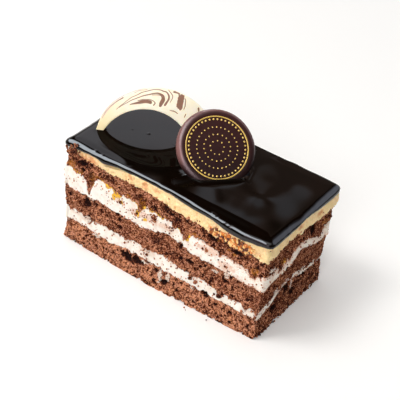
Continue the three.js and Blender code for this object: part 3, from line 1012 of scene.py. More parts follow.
class GATEAU_OT_creams(bpy.types.Operator):
    """Make the two layers of whipped cream, with syrup stains, rubbed-in crumb and painted shade"""
    bl_idname = "gateau.creams"
    bl_label = "Whipped creams"

    def execute(self, context):
        for i, layer in enumerate(("cream_lower", "cream_upper")):
            obj, where, beyond, spread = layer_piece(layer, cream_surface, 300 + 40 * i, 1.5)
            points = where[0]
            is_upper = layer == "cream_upper"
            rubbed = spots(where, DUSTY, 2.0)
            dust = smooth(-1.8, 0.4, beyond) * (0.6 + 0.5 * noise(points, 2.0, 9))
            dust += rubbed * (1.5 if is_upper else 0.8)
            # Painted shade: the upper cream grows darker and warmer towards the right, where less light
            # falls.
            dust += 0.55 * smooth(0, 40, points[:, 0]) * is_upper
            paint(obj, "dust", spread(np.clip(dust, 0, 1)))
            # Syrup also shows in a broken line under the top sponge, left of the middle.
            line = smooth(-0.9, -0.2, above_edge(points, layer, 1)) * smooth(0.0, 0.4, noise(points, 2.2, 29))
            line *= is_upper * smooth(-36, -30, points[:, 0]) * (1 - smooth(2, 30, points[:, 0]))
            paint(obj, "syrup", spread(np.maximum(spots(where, SYRUP, 1.3), 0.8 * line)))
            near_edge = smooth(-1.3, 0.0, beyond) * (1 - smooth(0.3, 0.6, beyond))
            clumps = smooth(-0.3, 0.5, noise(points, 3.0, 23))
            paint(obj, "crumbs", spread(0.12 + 0.88 * near_edge * clumps + 0.5 * rubbed))
            finish_piece(obj, cream_material(), "cream", layer)
        return {"FINISHED"}


# Where there is praline in the buttercream, and where it is peach or orange: spots as above.
PRALINE = on(
    "front", (26, 42.6, 3.2, 2.4), (30.5, 42, 3.2, 2.8), (35, 41.6, 3, 2.8), (39.6, 41.4, 3.2, 2.8),
    (42.5, 42.6, 1.6, 1.4), (46, 42, 0.8, 0.9))
TINTS = on(
    "front", (-17, 48, 1.4, 1.2), (-10, 47.4, 1.6, 2.2), (-4, 47.6, 2, 1), (-37, 46.2, 3, 1.4),
    (-41, 46, 3, 1.2), (24, 42.4, 2.4, 1.4)) + on(
    "right", (-3, 45, 2.4, 1.6), (11, 44.6, 2.6, 1.2))


class GATEAU_OT_buttercream(bpy.types.Operator):
    """Make the yellow buttercream under the glaze"""
    bl_idname = "gateau.buttercream"
    bl_label = "Buttercream"

    def execute(self, context):
        obj, where, beyond, spread = layer_piece("buttercream", buttercream_surface, 420, 1.3)
        points = where[0]
        # Painted shade: the stain grows a little towards the right end, where less light falls.
        tinted = np.maximum(spots(where, TINTS, 2.0), 0.08 * smooth(-40, 52, points[:, 0]))
        rubbed = smooth(-1.2, 0.3, beyond) * (0.5 + 0.6 * noise(points, 1.4, 31))
        paint(obj, "stain", spread(tinted + 0.6 * np.clip(rubbed, 0, 1)))
        paint(obj, "praline", spread(spots(where, PRALINE, 1.6)))
        # Crumbs cling along the edge to the sponge, and a few above it.
        above = above_edge(points, "buttercream", 0)
        paint(obj, "crumbs", spread((0.02 + 0.98 * (1 - smooth(0.1, 1.0, above))) * (above > -0.2)))
        finish_piece(obj, buttercream_material(), "buttercream", "buttercream")
        return {"FINISHED"}


# ---------------------------------------------------------------- glaze

# Rings round the bead of the glaze's rim, and from there to the middle.
RIM_STEPS = 28
FLAT_INSETS = (0.4, 0.8, 1.3, 1.8, 2.4)
FLAT_STEPS = 62
# How high up the rim is widest, as a share of its height, and how far in it turns under there.
RIM_WAIST, RIM_TUCK = 0.36, 0.9
# How far the underside lies above the foot, and how far in its rings lie.
UNDERSIDE_RISE, GLAZE_UNDERSIDE_INSETS = 0.6, (6.0, 2.0)
# How far in from the cut line the top starts to roll over into the rim.
SHOULDER_AT_ENDS = 2.4
# The same along the sides. These tables give pairs of a place from left to right and the value there.
SHOULDER_AT_SIDES = [(-51, 1.5), (-36, 1.4), (-24, 1.2), (4, 1.1), (14, 1.5), (51, 1.6)]
# How far the rim stands out from the cut line, and how much lower or higher its foot hangs.
RIM_OVERHANGS = [
    (-51, 1.3), (-40, 1.4), (-30, 1.3), (-24, 0.5), (-8, 0.25), (2, 0.15), (8, 0.5), (14, 0.75), (20, 1),
    (24, 1.35), (31, 2.1), (38, 2.3), (46, 1.8), (51, 1.4),
]
RIM_DROPS = [
    (-51, 0.3), (-42, 0.6), (-36, 0.2), (-31, 0.4), (-27.5, 1.5), (-23, 0.8), (-18, -0.6), (-10, -0.65),
    (-4, -0.5), (3, 0.35), (10, -0.35), (17, -0.25), (24, 0.2), (31, -0.35), (38, -0.5), (45, -1.1),
    (51, -0.2),
]
# How round the rim's section is above its widest line: 1 for an ellipse, less for a tighter shoulder.
RIM_ROUNDNESS = [
    (-51, 1), (-38, 0.95), (-30, 0.85), (-24, 1), (8, 0.95), (16, 0.75), (24, 0.6), (40, 0.6), (51, 0.7),
]
# How far the glaze sags towards its front and back edge.
RIM_SAG = [
    (-51, 0.1), (-34, 0.2), (-20, 0), (4, 0), (14, 0.25), (24, 0.6), (38, 0.6), (48, 0.2), (51, 0.1),
]


def read_off(table, places):
    """Values at places from a table of pairs."""
    return np.interp(places, *zip(*table))


def flattening(distance):
    """Share of the sag at a distance in from the shoulder."""
    return 1 - smooth(-0.8, 3.2, distance)


def rim_rings(points, normals, foot):
    """Rings round the rim's section from its foot up, how far in its shoulder lies, and how far it sags."""
    n = len(points)
    line = np.column_stack([points, np.zeros(n)])
    drip = 0.25 * noise(line, 9.0, 51) + 0.15 * noise(line, 3.0, 52)
    wobble = 0.14 * noise(line, 7.0, 53) + 0.08 * noise(line, 2.4, 54)
    # A drop hangs at the front left corner.
    droplet = np.exp(-np.hypot(*(points - CUT_MIDDLE + CUT_HALF).T) ** 2 / 6)
    place = np.where(normals[:, 1] < 0, points[:, 0], -points[:, 0])
    overhang = read_off(RIM_OVERHANGS, place) + wobble + 0.5 * droplet
    low = foot + drip + read_off(RIM_DROPS, place) - 0.5 * droplet
    shoulder = np.column_stack([np.full(n, SHOULDER_AT_ENDS), read_off(SHOULDER_AT_SIDES, place)])
    sag = read_off(RIM_SAG, place) * np.abs(normals[:, 1])
    top = inwards(points, shoulder)
    high = glaze_plane(top[:, 0]) + glaze_detail(np.column_stack([top, np.zeros(n)]))
    high -= sag * flattening(0.0)
    middle = low + RIM_WAIST * (high - low)
    roundness = read_off(RIM_ROUNDNESS, place) ** np.abs(normals[:, 1])
    rings = []
    for k in range(RIM_STEPS + 1):
        angle = math.pi * (k / RIM_STEPS) - math.pi / 2
        under = angle < 0
        power = np.ones(n) if under else roundness
        out = max(0.0, math.cos(angle)) ** power
        rise = (middle - low if under else high - middle) * np.sign(angle)
        z = middle + rise * abs(math.sin(angle)) ** power
        xy = inwards(points, (RIM_TUCK if under else shoulder) * (1 - out)[:, None])
        xy = xy + normals * (overhang * out)[:, None]
        if angle > 0:
            for mark in RIM_MARKS:
                z = z + mark_rise(xy, *mark)
        rings.append(np.column_stack([xy, z]))
    return rings, shoulder, sag


class GATEAU_OT_glaze(bpy.types.Operator):
    """Make the mirror glaze with its rounded rim, slow waves, bubbles and the rise round what stands in it"""
    bl_idname = "gateau.glaze"
    bl_label = "Mirror glaze"

    def execute(self, context):
        cake = walls()
        stride = max(1, round(millimetres("sizes", "glaze_step") / millimetres("sizes", "wall_step")))
        points, normals = cake.points[::stride], cake.normals[::stride]
        foot = soften(cake.edges[-1], 6)[::stride]
        underside = foot + UNDERSIDE_RISE
        rings = [np.column_stack([inwards(points, inset), underside]) for inset in GLAZE_UNDERSIDE_INSETS]
        rim, shoulder, sag = rim_rings(points, normals, foot)
        rim_rows = slice(len(rings), len(rings) + len(rim))
        rings += rim
        last = CUT_HALF[1] - 0.4 - shoulder[:, 1].max()
        for extra in (*FLAT_INSETS, *np.linspace(3.0, last, FLAT_STEPS)):
            inset = shoulder + extra
            xy = inwards(points, inset)
            sagging = sag * flattening(inset[:, 1] - shoulder[:, 1])
            ring = np.column_stack([xy, glaze_plane(xy[:, 0]) - sagging])
            ring[:, 2] += glaze_detail(ring)
            rings.append(ring)
        rings = np.stack(rings)
        top = np.array([[*CUT_MIDDLE, glaze_plane(CUT_MIDDLE[0])]])
        top[:, 2] += glaze_detail(top)
        bottom = [*CUT_MIDDLE, float(np.mean(underside))]
        obj = closed_stack("mirror_glaze", rings, bottom, top[0])

        # The rim's coat: strong on the steep bead, weak on the band where it turns over along the sides.
        step = np.gradient(np.stack(rim), axis=0)
        tilt = np.degrees(np.arctan2(step[..., 2], -(step[..., :2] * normals).sum(-1)))
        gap = smooth(46, 53, tilt) * (1 - smooth(72, 82, tilt)) * np.abs(normals[:, 1])
        coat = np.zeros(rings.shape[:2])
        coat[rim_rows] = smooth(10, 24, tilt) * (1 - 0.9 * gap)
        near_disc = 0.9 * np.exp(-foot_distance(rings.reshape(-1, 3), DISC_PLACE) / 0.5)
        paint(obj, "rim", np.concatenate([np.maximum(coat.ravel(), near_disc), [0, 0]]))
        finish_piece(obj, glaze_material(), "glaze", "glaze")
        return {"FINISHED"}


def glaze_plane(x):
    """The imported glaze's top falls a little towards the right: its height at x."""
    reach, across = 44.0, 20.0
    left, right = walls().solids["glaze"].height([(-reach, across), (reach, across)], True)
    return left + (right - left) * (np.asarray(x) + reach) / (2 * reach)


# Small marks in the glaze: x, y, radius, rise. Negative marks are dents.
GLAZE_MARKS = [(-28.1, 0, 0.55, 0.07), (-34.9, -2.2, 0.5, 0.015), (31, -4, 5, 0.05), (26, 12, 6, -0.04)]
# Bubbles that stand up on the front rim, likewise.
RIM_MARKS = [
    (22.7, -25.7, 0.5, 0.2), (24, -26.1, 0.45, 0.3), (25.8, -26.3, 0.4, 0.2), (29.3, -26.9, 0.5, 0.3),
    (31.4, -27.1, 0.4, 0.2), (-36.2, -25.4, 0.6, 0.25), (-32.5, -25.6, 0.5, 0.2),
]


def mark_rise(points, x, y, radius, height):
    """Rise of the glaze at each point from one mark."""
    away = np.hypot(points[:, 0] - x, points[:, 1] - y) / radius
    return height * np.exp(-away ** 2)


def glaze_detail(points):
    """Rise of the glaze's top from waves, marks and the menisci round the disc and the crescent."""
    flat = np.column_stack([points[:, :2], np.zeros(len(points))])
    wave = millimetres("sizes", "glaze_wave")
    rise = wave * (noise(flat, 26.0, 61) + 0.45 * noise(flat, 11.0, 62))
    for mark in GLAZE_MARKS:
        rise += mark_rise(points, *mark)
    for place, height in ((DISC_PLACE, 0.35), (ARCH_PLACE, 0.15)):
        rise += height * np.exp(-foot_distance(points, place) / 0.8)
    return rise


# ---------------------------------------------------------------- decorations

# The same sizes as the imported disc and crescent, in millimetres and degrees.
DISC = {"centre": (3.9, 1.7, 57.8), "turn": 50.6, "lean": 47.6, "back": 16.7, "thickness": 3.2}
ARCH = {"start": (-47.5, -13.9), "turn": 32.5, "lean": 19.0, "thickness": 1.8, "sunk": 1.7,
        "outer": (27.5, -5.3, 26.0), "inner": (23.0, -9.0, 20.1)}
# How far the disc's face is sunk inside its rounded edge.
FACE_DROP = 0.12
FACE_LEVEL = DISC["thickness"] - FACE_DROP
# Painted sheen on the disc's rounded edge, by the angle round its face from its right: strongest on the lit
# upper left.
DISC_SHEEN = [
    (0, 0.4), (30, 0.75), (120, 0.7), (150, 0.75), (175, 1), (190, 0.8), (205, 0.2), (220, 0), (330, 0),
    (360, 0.4),
]


def standing(item, place):
    """Stands a flat piece up, leans it back and turns it: the matrix from its own plane, in millimetres."""
    turn = Matrix.Rotation(item["turn"] * DEGREE, 4, "Z")
    lean = Matrix.Rotation((90 - item["lean"]) * DEGREE, 4, "X")
    shift = Vector((CUT_MIDDLE[0], CUT_MIDDLE[1], 0))
    return Matrix.Translation(Vector(place) + shift) @ turn @ lean


DISC_PLACE = standing(DISC, DISC["centre"])
ARCH_PLACE = standing(ARCH, (*ARCH["start"], 51.1 - 0.012 * ARCH["start"][0] / 2))


def moved(points, place):
    """Points of a piece's own plane put in their place."""
    matrix = np.array(place)
    return points @ matrix[:3, :3].T + matrix[:3, 3]


def foot_distance(points, place):
    """Distance in plan from each point to where a standing piece goes into the glaze."""
    matrix = np.array(place.inverted())
    local = points @ matrix[:3, :3].T + matrix[:3, 3]
    if place is DISC_PLACE:
        across = np.maximum(np.abs(local[:, 2] - DISC["thickness"] / 2) - DISC["thickness"] / 2, 0)
        beyond = np.maximum(np.hypot(local[:, 0], local[:, 1]) - DISC["back"] + 0.4, 0)
        return np.hypot(across, beyond)
    across = np.maximum(np.abs(local[:, 2]) - ARCH["thickness"] / 2, 0)
    ox, oy, outer = ARCH["outer"]
    ix, iy, inner = ARCH["inner"]
    beyond = np.maximum(np.hypot(local[:, 0] - ox, local[:, 1] - oy) - outer,
                        inner - np.hypot(local[:, 0] - ix, local[:, 1] - iy))
    return np.hypot(across, np.maximum(beyond, 0))


def circle(radius, count, level):
    """Points evenly round a circle."""
    turn = np.arange(count) / count * TAU
    return np.column_stack([radius * np.cos(turn), radius * np.sin(turn), np.full(count, level)])


class GATEAU_OT_disc(bpy.types.Operator):
    """Make the moulded dark chocolate disc"""
    bl_idname = "gateau.disc"
    bl_label = "Chocolate disc"

    def execute(self, context):
        segments, rounding = 160, 0.5
        back, top = DISC["back"], DISC["thickness"]
        edge = millimetres("sizes", "disc_edge")
        corner = back - edge
        # Half the disc's section from the middle of its back, round its edge, to the middle of its face.
        profile = [(r, 0.0) for r in np.linspace(back - rounding, 2.0, 8)[::-1]]
        profile += [(back - rounding * (1 - math.sin(a)), rounding * (1 - math.cos(a)))
                    for a in np.linspace(0.3, 1.4, 5)]
        profile += [(corner + edge * math.cos(a), 0.6 + (top - 0.6) * math.sin(a))
                    for a in np.linspace(0.05, 1.42, 18)]
        profile += [(r, top - FACE_DROP * smooth(0.0, 1.4, corner - r))
                    for r in np.linspace(corner - 0.2, 1.0, 26)]
        rings = np.stack([circle(radius, segments, float(z)) for radius, z in profile])
        flat = rings.reshape(-1, 3)
        flat[:, 2] += 0.03 * rough(flat, 4.0, 71, 2)
        flat[:, :2] *= (1 + 0.003 * noise(flat, 6.0, 72))[:, None]
        own = flat.copy()
        rings = moved(flat, DISC_PLACE).reshape(rings.shape)
        ends = moved(np.array([[0, 0, 0.0], [0, 0, FACE_LEVEL]]), DISC_PLACE)
        obj = closed_stack("moulded_disc", rings, ends[0], ends[1])
        radius = np.hypot(own[:, 0], own[:, 1])
        side = smooth(corner, back - 0.6, radius) * smooth(0.0, 0.8, own[:, 2])
        round_it = np.degrees(np.arctan2(own[:, 1], own[:, 0])) % 360
        # Painted sheen: only the part of the edge that faces the light is paled.
        side *= read_off(DISC_SHEEN, round_it)
        paint(obj, "edge", np.concatenate([side, [0, 0]]))
        # Painted shade: the disc is darker low down.
        paint(obj, "low", np.concatenate([1 - smooth(-back, back * 0.7, own[:, 1]), [0.5, 0.5]]))
        finish_piece(obj, dark_chocolate_material(), "dark_chocolate", "chocolate_disc")
        return {"FINISHED"}


def new_tree(name, inputs):
    """A geometry node tree with its first input and its output as geometry, and the named inputs between."""
    tree = bpy.data.node_groups.new(name, "GeometryNodeTree")
    tree.interface.new_socket("Geometry", in_out="INPUT", socket_type="NodeSocketGeometry")
    tree.interface.new_socket("Geometry", in_out="OUTPUT", socket_type="NodeSocketGeometry")
    for label, kind, value in inputs:
        socket = tree.interface.new_socket(label, in_out="INPUT", socket_type="NodeSocket" + kind)
        if value is not None:
            socket.default_value = value
    return tree, tree.nodes.new("NodeGroupInput"), tree.nodes.new("NodeGroupOutput")


def run_tree(name, tree, source, values):
    """Evaluates a tree on a copy of a mesh and gives the result as a plain mesh object."""
    obj = bpy.data.objects.new(name, source.copy())
    bpy.context.scene.collection.objects.link(obj)
    modifier = obj.modifiers.new(tree.name, "NODES")
    modifier.node_group = tree
    for item in tree.interface.items_tree:
        if item.in_out == "INPUT" and item.name in values:
            modifier[item.identifier] = values[item.name]
    evaluated = obj.evaluated_get(bpy.context.evaluated_depsgraph_get())
    mesh = bpy.data.meshes.new_from_object(evaluated)
    obj.modifiers.clear()
    obj.data = mesh
    return obj


def named_number(tree, name):
    """A number stored on the geometry, as an output."""
    node = add_node(tree, "GeometryNodeInputNamedAttribute", {"Name": name}, data_type="FLOAT")
    return node.outputs[0]


def dress_instances(tree, into, out, points, stamp, values):
    """Ends a tree: puts the stamp, one of its inputs, on points, and makes that real in its Material."""
    shape = add_node(tree, "GeometryNodeObjectInfo", {"Object": into.outputs[stamp]},
                     transform_space="ORIGINAL")
    instances = add_node(tree, "GeometryNodeInstanceOnPoints", {
        "Points": points, "Instance": shape.outputs["Geometry"], **values})
    real = add_node(tree, "GeometryNodeRealizeInstances", {"Geometry": instances.outputs[0]})
    dressed = add_node(tree, "GeometryNodeSetMaterial", {
        "Geometry": real.outputs[0], "Material": into.outputs["Material"]})
    tree.links.new(dressed.outputs[0], out.inputs["Geometry"])


class GATEAU_OT_gold(bpy.types.Operator):
    """Set a plain gold ring and rings of gold dots on the disc's face"""
    bl_idname = "gateau.gold"
    bl_label = "Gold ring and dots"

    # Radius and half width of the plain ring.
    plain_ring = (13.1, 0.28)
    # Each ring of dots: its radius, its number of dots and their size as a share of the setting.
    rings = ((11.9, 44, 1.0), (8.6, 30, 0.75), (5.6, 18, 0.75), (2.9, 9, 0.75))

    def execute(self, context):
        tree, into, out = new_tree("Ring of dots", [("Dot", "Object", None), ("Material", "Material", None)])
        size = named_number(tree, "dot")
        dress_instances(tree, into, out, into.outputs["Geometry"], "Dot", {"Scale": size})

        mesh = bpy.data.meshes.new("dot places")
        places = np.concatenate([circle(radius, count, FACE_LEVEL) for radius, count, _ in self.rings])
        mesh.from_pydata([tuple(p * MM) for p in places], [], [])
        scales = np.concatenate([np.full(count, scale) for _, count, scale in self.rings])
        mesh.attributes.new("dot", "FLOAT", "POINT").data.foreach_set("value", scales.astype(np.float32))
        stamp = gold_dot(millimetres("sizes", "dot_size"))
        obj = run_tree("gold_dots", tree, mesh, {"Dot": stamp, "Material": gold_material()})
        bpy.data.objects.remove(stamp)
        matrix = DISC_PLACE.copy()
        matrix.translation *= MM
        obj.data.transform(matrix)
        obj.data.polygons.foreach_set("use_smooth", [True] * len(obj.data.polygons))
        finish_piece(obj, gold_material(), "dark_chocolate")
        finish_piece(gold_ring(*self.plain_ring), gold_material(), "dark_chocolate")
        return {"FINISHED"}


def gold_dot(width):
    """A low dome, a few dozen faces, for the dots."""
    section = ((0.6, -0.05), (1.0, 0.0), (0.8, 0.12), (0.4, 0.18))
    rings = np.stack([circle(share * width / 2, 10, z) for share, z in section])
    return closed_stack("gold dot", rings, [0, 0, -0.05], [0, 0, 0.2])


def gold_ring(radius, half_width):
    """A thin flat ring with a rounded top, as a closed tube round the disc's face."""
    segments, around = 120, 8
    turn = np.arange(segments)[:, None] / segments * TAU
    angle = np.arange(around)[None, :] / around * TAU
    r = radius + half_width * np.cos(angle)
    z = FACE_LEVEL + 0.09 * np.sin(angle) + 0 * turn
    vertices = np.stack([r * np.cos(turn), r * np.sin(turn), z], -1).reshape(-1, 3)
    i = np.arange(segments)[:, None]
    j = np.arange(around)[None, :]
    onward, beside = (i + 1) % segments * around, (j + 1) % around
    corners = (i * around + j, onward + j, onward + beside, i * around + beside)
    faces = np.stack(np.broadcast_arrays(*corners), -1).reshape(-1, 4)
    return new_object("gold_ring", moved(vertices, DISC_PLACE), faces)


# The marbling of the crescent: lines through points (degrees along it from the left, millimetres in from
# its outer edge), each with the half width of the line at its start, middle and end.
HOOKS = [
    ([(39.8, 2.6), (49.2, 2.5), (63, 1.8), (75, 1.2), (84.6, 0.7), (92.8, 1.1), (96.9, 2.3), (98.1, 4.3),
      (95.4, 6.8)], (0.1, 0.16, 0.45)),
    ([(43.3, 2.8), (57.1, 3.0), (69.8, 2.9), (80.3, 2.5), (87.5, 2.3), (92.1, 3.3), (93.0, 5.1), (89.4, 7.4)],
     (0.1, 0.26, 0.6)),
    ([(80, 3.0), (85, 3.0), (89.0, 3.0), (91.2, 4.3), (89.4, 6.6)], (0.08, 0.2, 0.5)),
    ([(95.8, 0.2), (99.2, 1.4), (101.6, 2.7), (100.6, 5.3)], (0.12, 0.2, 0.1)),
    ([(64, 4.1), (73.5, 4.6), (79.8, 5.1), (83, 6.2), (81.2, 7.2)], (0.15, 0.16, 0.24)),
    ([(54.4, 4.4), (63, 5.0), (71.5, 5.3), (77.5, 5.9)], (0.15, 0.7, 0.75)),
    ([(113.4, 1.1), (116.8, 3.2), (118.4, 5.4)], (0.15, 0.24, 0.15)),
    ([(101.4, 0.4), (106.2, 0.4)], (0.4, 0.3, 0.3)),
    ([(103.6, 8.4), (109, 8.1), (114.6, 8.3)], (0.16, 0.24, 0.16)),
    ([(123.5, 6.5), (124.6, 7.8)], (0.2, 0.2, 0.15)),
    ([(129.2, 0.9), (131.7, 1.8)], (0.35, 0.35, 0.25)),
    ([(24, 0.1), (35, 0.0), (45, 0.2), (52, 0.4)], (0.05, 0.12, 0.22)),
    ([(64, 0.5), (70, 0.3), (76, 0.5)], (0.08, 0.12, 0.08)),
]
# A broad patch across the crescent: its middle in degrees at its upper and lower end, how far in from the
# outer edge it starts and stops, and its half width.
PATCH = {"degrees": (108.4, 113.2), "from": 0.2, "to": 6.4, "half": 1.32}


def bent_line(control, steps=14):
    """A smooth line through the control points."""
    control = np.array(control, float)
    padded = np.vstack([2 * control[0] - control[1], control, 2 * control[-1] - control[-2]])
    line = []
    for i in range(len(control) - 1):
        p0, p1, p2, p3 = padded[i:i + 4]
        for t in np.arange(steps) / steps:
            line.append(0.5 * (2 * p1 + (p2 - p0) * t + (2 * p0 - 5 * p1 + 4 * p2 - p3) * t * t
                               + (3 * p1 - p0 - 3 * p2 + p3) * t ** 3))
    line.append(control[-1])
    return np.array(line)


def marbling(points):
    """How far each point of the crescent's plane lies in a streak of milk chocolate, from 0 to 1."""
    ox, oy, outer = ARCH["outer"]
    wobble = 0.14 * np.stack([noise(points, 1.4, 81 + k) for k in range(2)], 1)
    flat = points[:, :2] + wobble
    amount = np.zeros(len(points))
    for control, widths in HOOKS:
        line = bent_line(control)
        angle = math.pi - line[:, 0] * DEGREE
        radius = outer - line[:, 1]
        x, y = ox + radius * np.cos(angle), oy + radius * np.sin(angle)
        half = np.interp(np.linspace(0, 1, len(line)), [0, 0.5, 1], widths)
        for k in range(len(line) - 1):
            start = np.array([x[k], y[k]])
            way = np.array([x[k + 1], y[k + 1]]) - start
            t = np.clip(((flat - start) @ way) / (way @ way), 0, 1)
            away = np.linalg.norm(flat - start - t[:, None] * way, axis=1)
            width = half[k] + (half[k + 1] - half[k]) * t
            amount = np.maximum(amount, 1 - smooth(-0.1, 0.12, away - width))
    depth = outer - np.hypot(flat[:, 0] - ox, flat[:, 1] - oy)
    degrees = np.arctan2(flat[:, 1] - oy, ox - flat[:, 0]) / DEGREE
    middle = np.interp(depth, [PATCH["from"], PATCH["to"]], PATCH["degrees"])
    aside = np.abs(degrees - middle) * DEGREE * (outer - depth) - PATCH["half"]
    torn = 0.5 * noise(points * [1, 1, 0], 0.7, 85)
    beyond = np.maximum(np.maximum(PATCH["from"] - depth, depth - PATCH["to"]) + torn, aside + 0.3 * torn)
    return np.maximum(amount, 1 - smooth(-0.1, 0.12, beyond))


def crescent_arc(middle, radius, foot, share):
    """Angles along one of the crescent's circles, from its foot on the left to its foot on the right."""
    end = math.asin((foot - middle[1]) / radius)
    return math.pi - end - share * (math.pi - 2 * end)


def on_circle(middle, radius, angles):
    """Points in plan on a circle."""
    return np.column_stack([middle[0] + radius * np.cos(angles), middle[1] + radius * np.sin(angles)])


class GATEAU_OT_crescent(bpy.types.Operator):
    """Make the marbled white chocolate crescent"""
    bl_idname = "gateau.crescent"
    bl_label = "White chocolate crescent"

    def execute(self, context):
        sections, across, edge_steps = 340, 54, 5
        half, edge = ARCH["thickness"] / 2, 0.35
        foot = -ARCH["sunk"]
        ox, oy, outer = ARCH["outer"]
        ix, iy, inner = ARCH["inner"]
        share = np.linspace(0, 1, sections)
        outer_angle = crescent_arc((ox, oy), outer, foot, share)
        # The outer edge bulges a little on the left.
        bulge = outer + 0.6 * np.exp(-(((math.pi - outer_angle) / DEGREE - 33) / 17) ** 2)
        outer_line = on_circle((ox, oy), bulge, outer_angle)
        inner_line = on_circle((ix, iy), inner, crescent_arc((ix, iy), inner, foot, share))
        # Section of the crescent, as (share from inner to outer edge, inset from it, height from the middle).
        rim = [(math.cos(a), math.sin(a)) for a in np.linspace(math.pi / 2, -math.pi / 2, 2 * edge_steps)]
        section = [(u, 0.0, half) for u in np.linspace(0, 1, across)]
        section += [(1, edge * c, (half - edge) * np.sign(s) + edge * s) for c, s in rim[1:-1]]
        section += [(u, 0.0, -half) for u in np.linspace(1, 0, across // 2)]
        section += [(0, -edge * c, -(half - edge) * np.sign(s) - edge * s) for c, s in rim[1:-1]]
        n = len(section)
        across_way = outer_line - inner_line
        width = np.linalg.norm(across_way, axis=1)
        across_way /= width[:, None]
        rings = np.zeros((sections, n, 3))
        for j, (u, out, z) in enumerate(section):
            along = edge + u * (width - 2 * edge) + out
            rings[:, j, :2] = inner_line + across_way * along[:, None]
            rings[:, j, 2] = z
        flat = rings.reshape(-1, 3)
        own = flat.copy()
        on_front = smooth(0.0, half, own[:, 2])
        flat[:, 2] += 0.05 * rough(own * [1, 1, 0.2], 6.0, 91, 2)
        flat[:, :2] += 0.05 * np.stack([noise(own, 2.5, 92), noise(own, 2.5, 93)], 1)
        ends = np.stack([rings[0].mean(0), rings[-1].mean(0)])
        placed = moved(flat, ARCH_PLACE).reshape(rings.shape)
        ends = moved(ends, ARCH_PLACE)
        obj = closed_stack("marbled_crescent", placed[:, ::-1], ends[0], ends[1])

        def store(name, values):
            """Paints values of the rings, which are put in reversed, and nothing at the two ends."""
            grid = values.reshape(sections, n)[:, ::-1]
            paint(obj, name, np.concatenate([grid.ravel(), [0, 0]]))

        streak = marbling(own) * smooth(-half, half * 0.6, own[:, 2])
        behind = 0.8 * smooth(0.35, 0.5, rough(own * [1, 2.2, 0], 7.0, 95, 2)) * (1 - on_front)
        store("marbling", np.maximum(streak, behind))
        # Painted shade towards the left foot.
        along = np.clip(np.arctan2(own[:, 1] - oy, ox - own[:, 0]) / DEGREE, 0, 180)
        store("foot", 1 - smooth(5, 60, along))
        # Painted shade in a band along the outer edge, from 20 to 80 degrees along.
        depth_in = outer - np.hypot(own[:, 0] - ox, own[:, 1] - oy)
        stain = (1 - smooth(0.0, 0.45, depth_in)) * smooth(20, 30, along) * (1 - smooth(66, 80, along))
        store("stain", stain)
        finish_piece(obj, white_chocolate_material(), "white_chocolate", "chocolate_arch")
        return {"FINISHED"}


# ---------------------------------------------------------------- crumbs and praline

def lump(name, seed, fine=False):
    """A small uneven lump about one millimetre across, of a few dozen faces unless it is a fine one."""
    mesh = bpy.data.meshes.new(name)
    shape = bmesh.new()
    if fine:
        bmesh.ops.create_icosphere(shape, subdivisions=3, radius=0.5)
    else:
        bmesh.ops.create_uvsphere(shape, u_segments=7, v_segments=5, radius=0.5)
    points = np.array([v.co[:] for v in shape.verts])
    grown = 1 + 0.45 * rough(points + seed, 0.5, seed, 2)
    squash = np.array([1.0, 0.85, 0.7])
    for vertex, factor in zip(shape.verts, grown):
        vertex.co = Vector(np.array(vertex.co[:]) * factor * squash * MM)
    shape.to_mesh(mesh)
    shape.free()
    obj = bpy.data.objects.new(name, mesh)
    bpy.context.scene.collection.objects.link(obj)
    return obj


def scatter_tree():
    """Lumps scattered over a surface, more where the attribute "crumbs" is high."""
    tree, into, out = new_tree("Scattered lumps", [
        ("Lump", "Object", None), ("Density", "Float", 1.0), ("Size", "Float", 1.0), ("Seed", "Int", 0),
        ("Material", "Material", None)])
    weight = named_number(tree, "crumbs")
    density = add_node(tree, "ShaderNodeMath", {0: weight, 1: into.outputs["Density"]}, operation="MULTIPLY")
    points = add_node(tree, "GeometryNodeDistributePointsOnFaces", {
        "Mesh": into.outputs["Geometry"], "Density": density.outputs[0], "Seed": into.outputs["Seed"]})
    seed = {"Seed": into.outputs["Seed"]}
    turn = add_node(tree, "FunctionNodeRandomValue", {**seed, 1: (TAU, TAU, TAU)}, data_type="FLOAT_VECTOR")
    grade = add_node(tree, "FunctionNodeRandomValue", {**seed, 2: 0.45, 3: 1.5}, data_type="FLOAT")
    size = add_node(tree, "ShaderNodeMath", {
        0: grade.outputs[1], 1: into.outputs["Size"]}, operation="MULTIPLY")
    dress_instances(tree, into, out, points.outputs["Points"], "Lump", {
        "Rotation": turn.outputs[0], "Scale": size.outputs[0]})
    return tree


# Loose crumbs to a square millimetre, where a layer has most of them.
CRUMB_DENSITY = {"cream_lower": 1.3, "cream_upper": 1.3, "buttercream": 0.8, "sponge_bottom": 1.2,
                 "sponge_middle": 1.1, "sponge_top": 1.1}
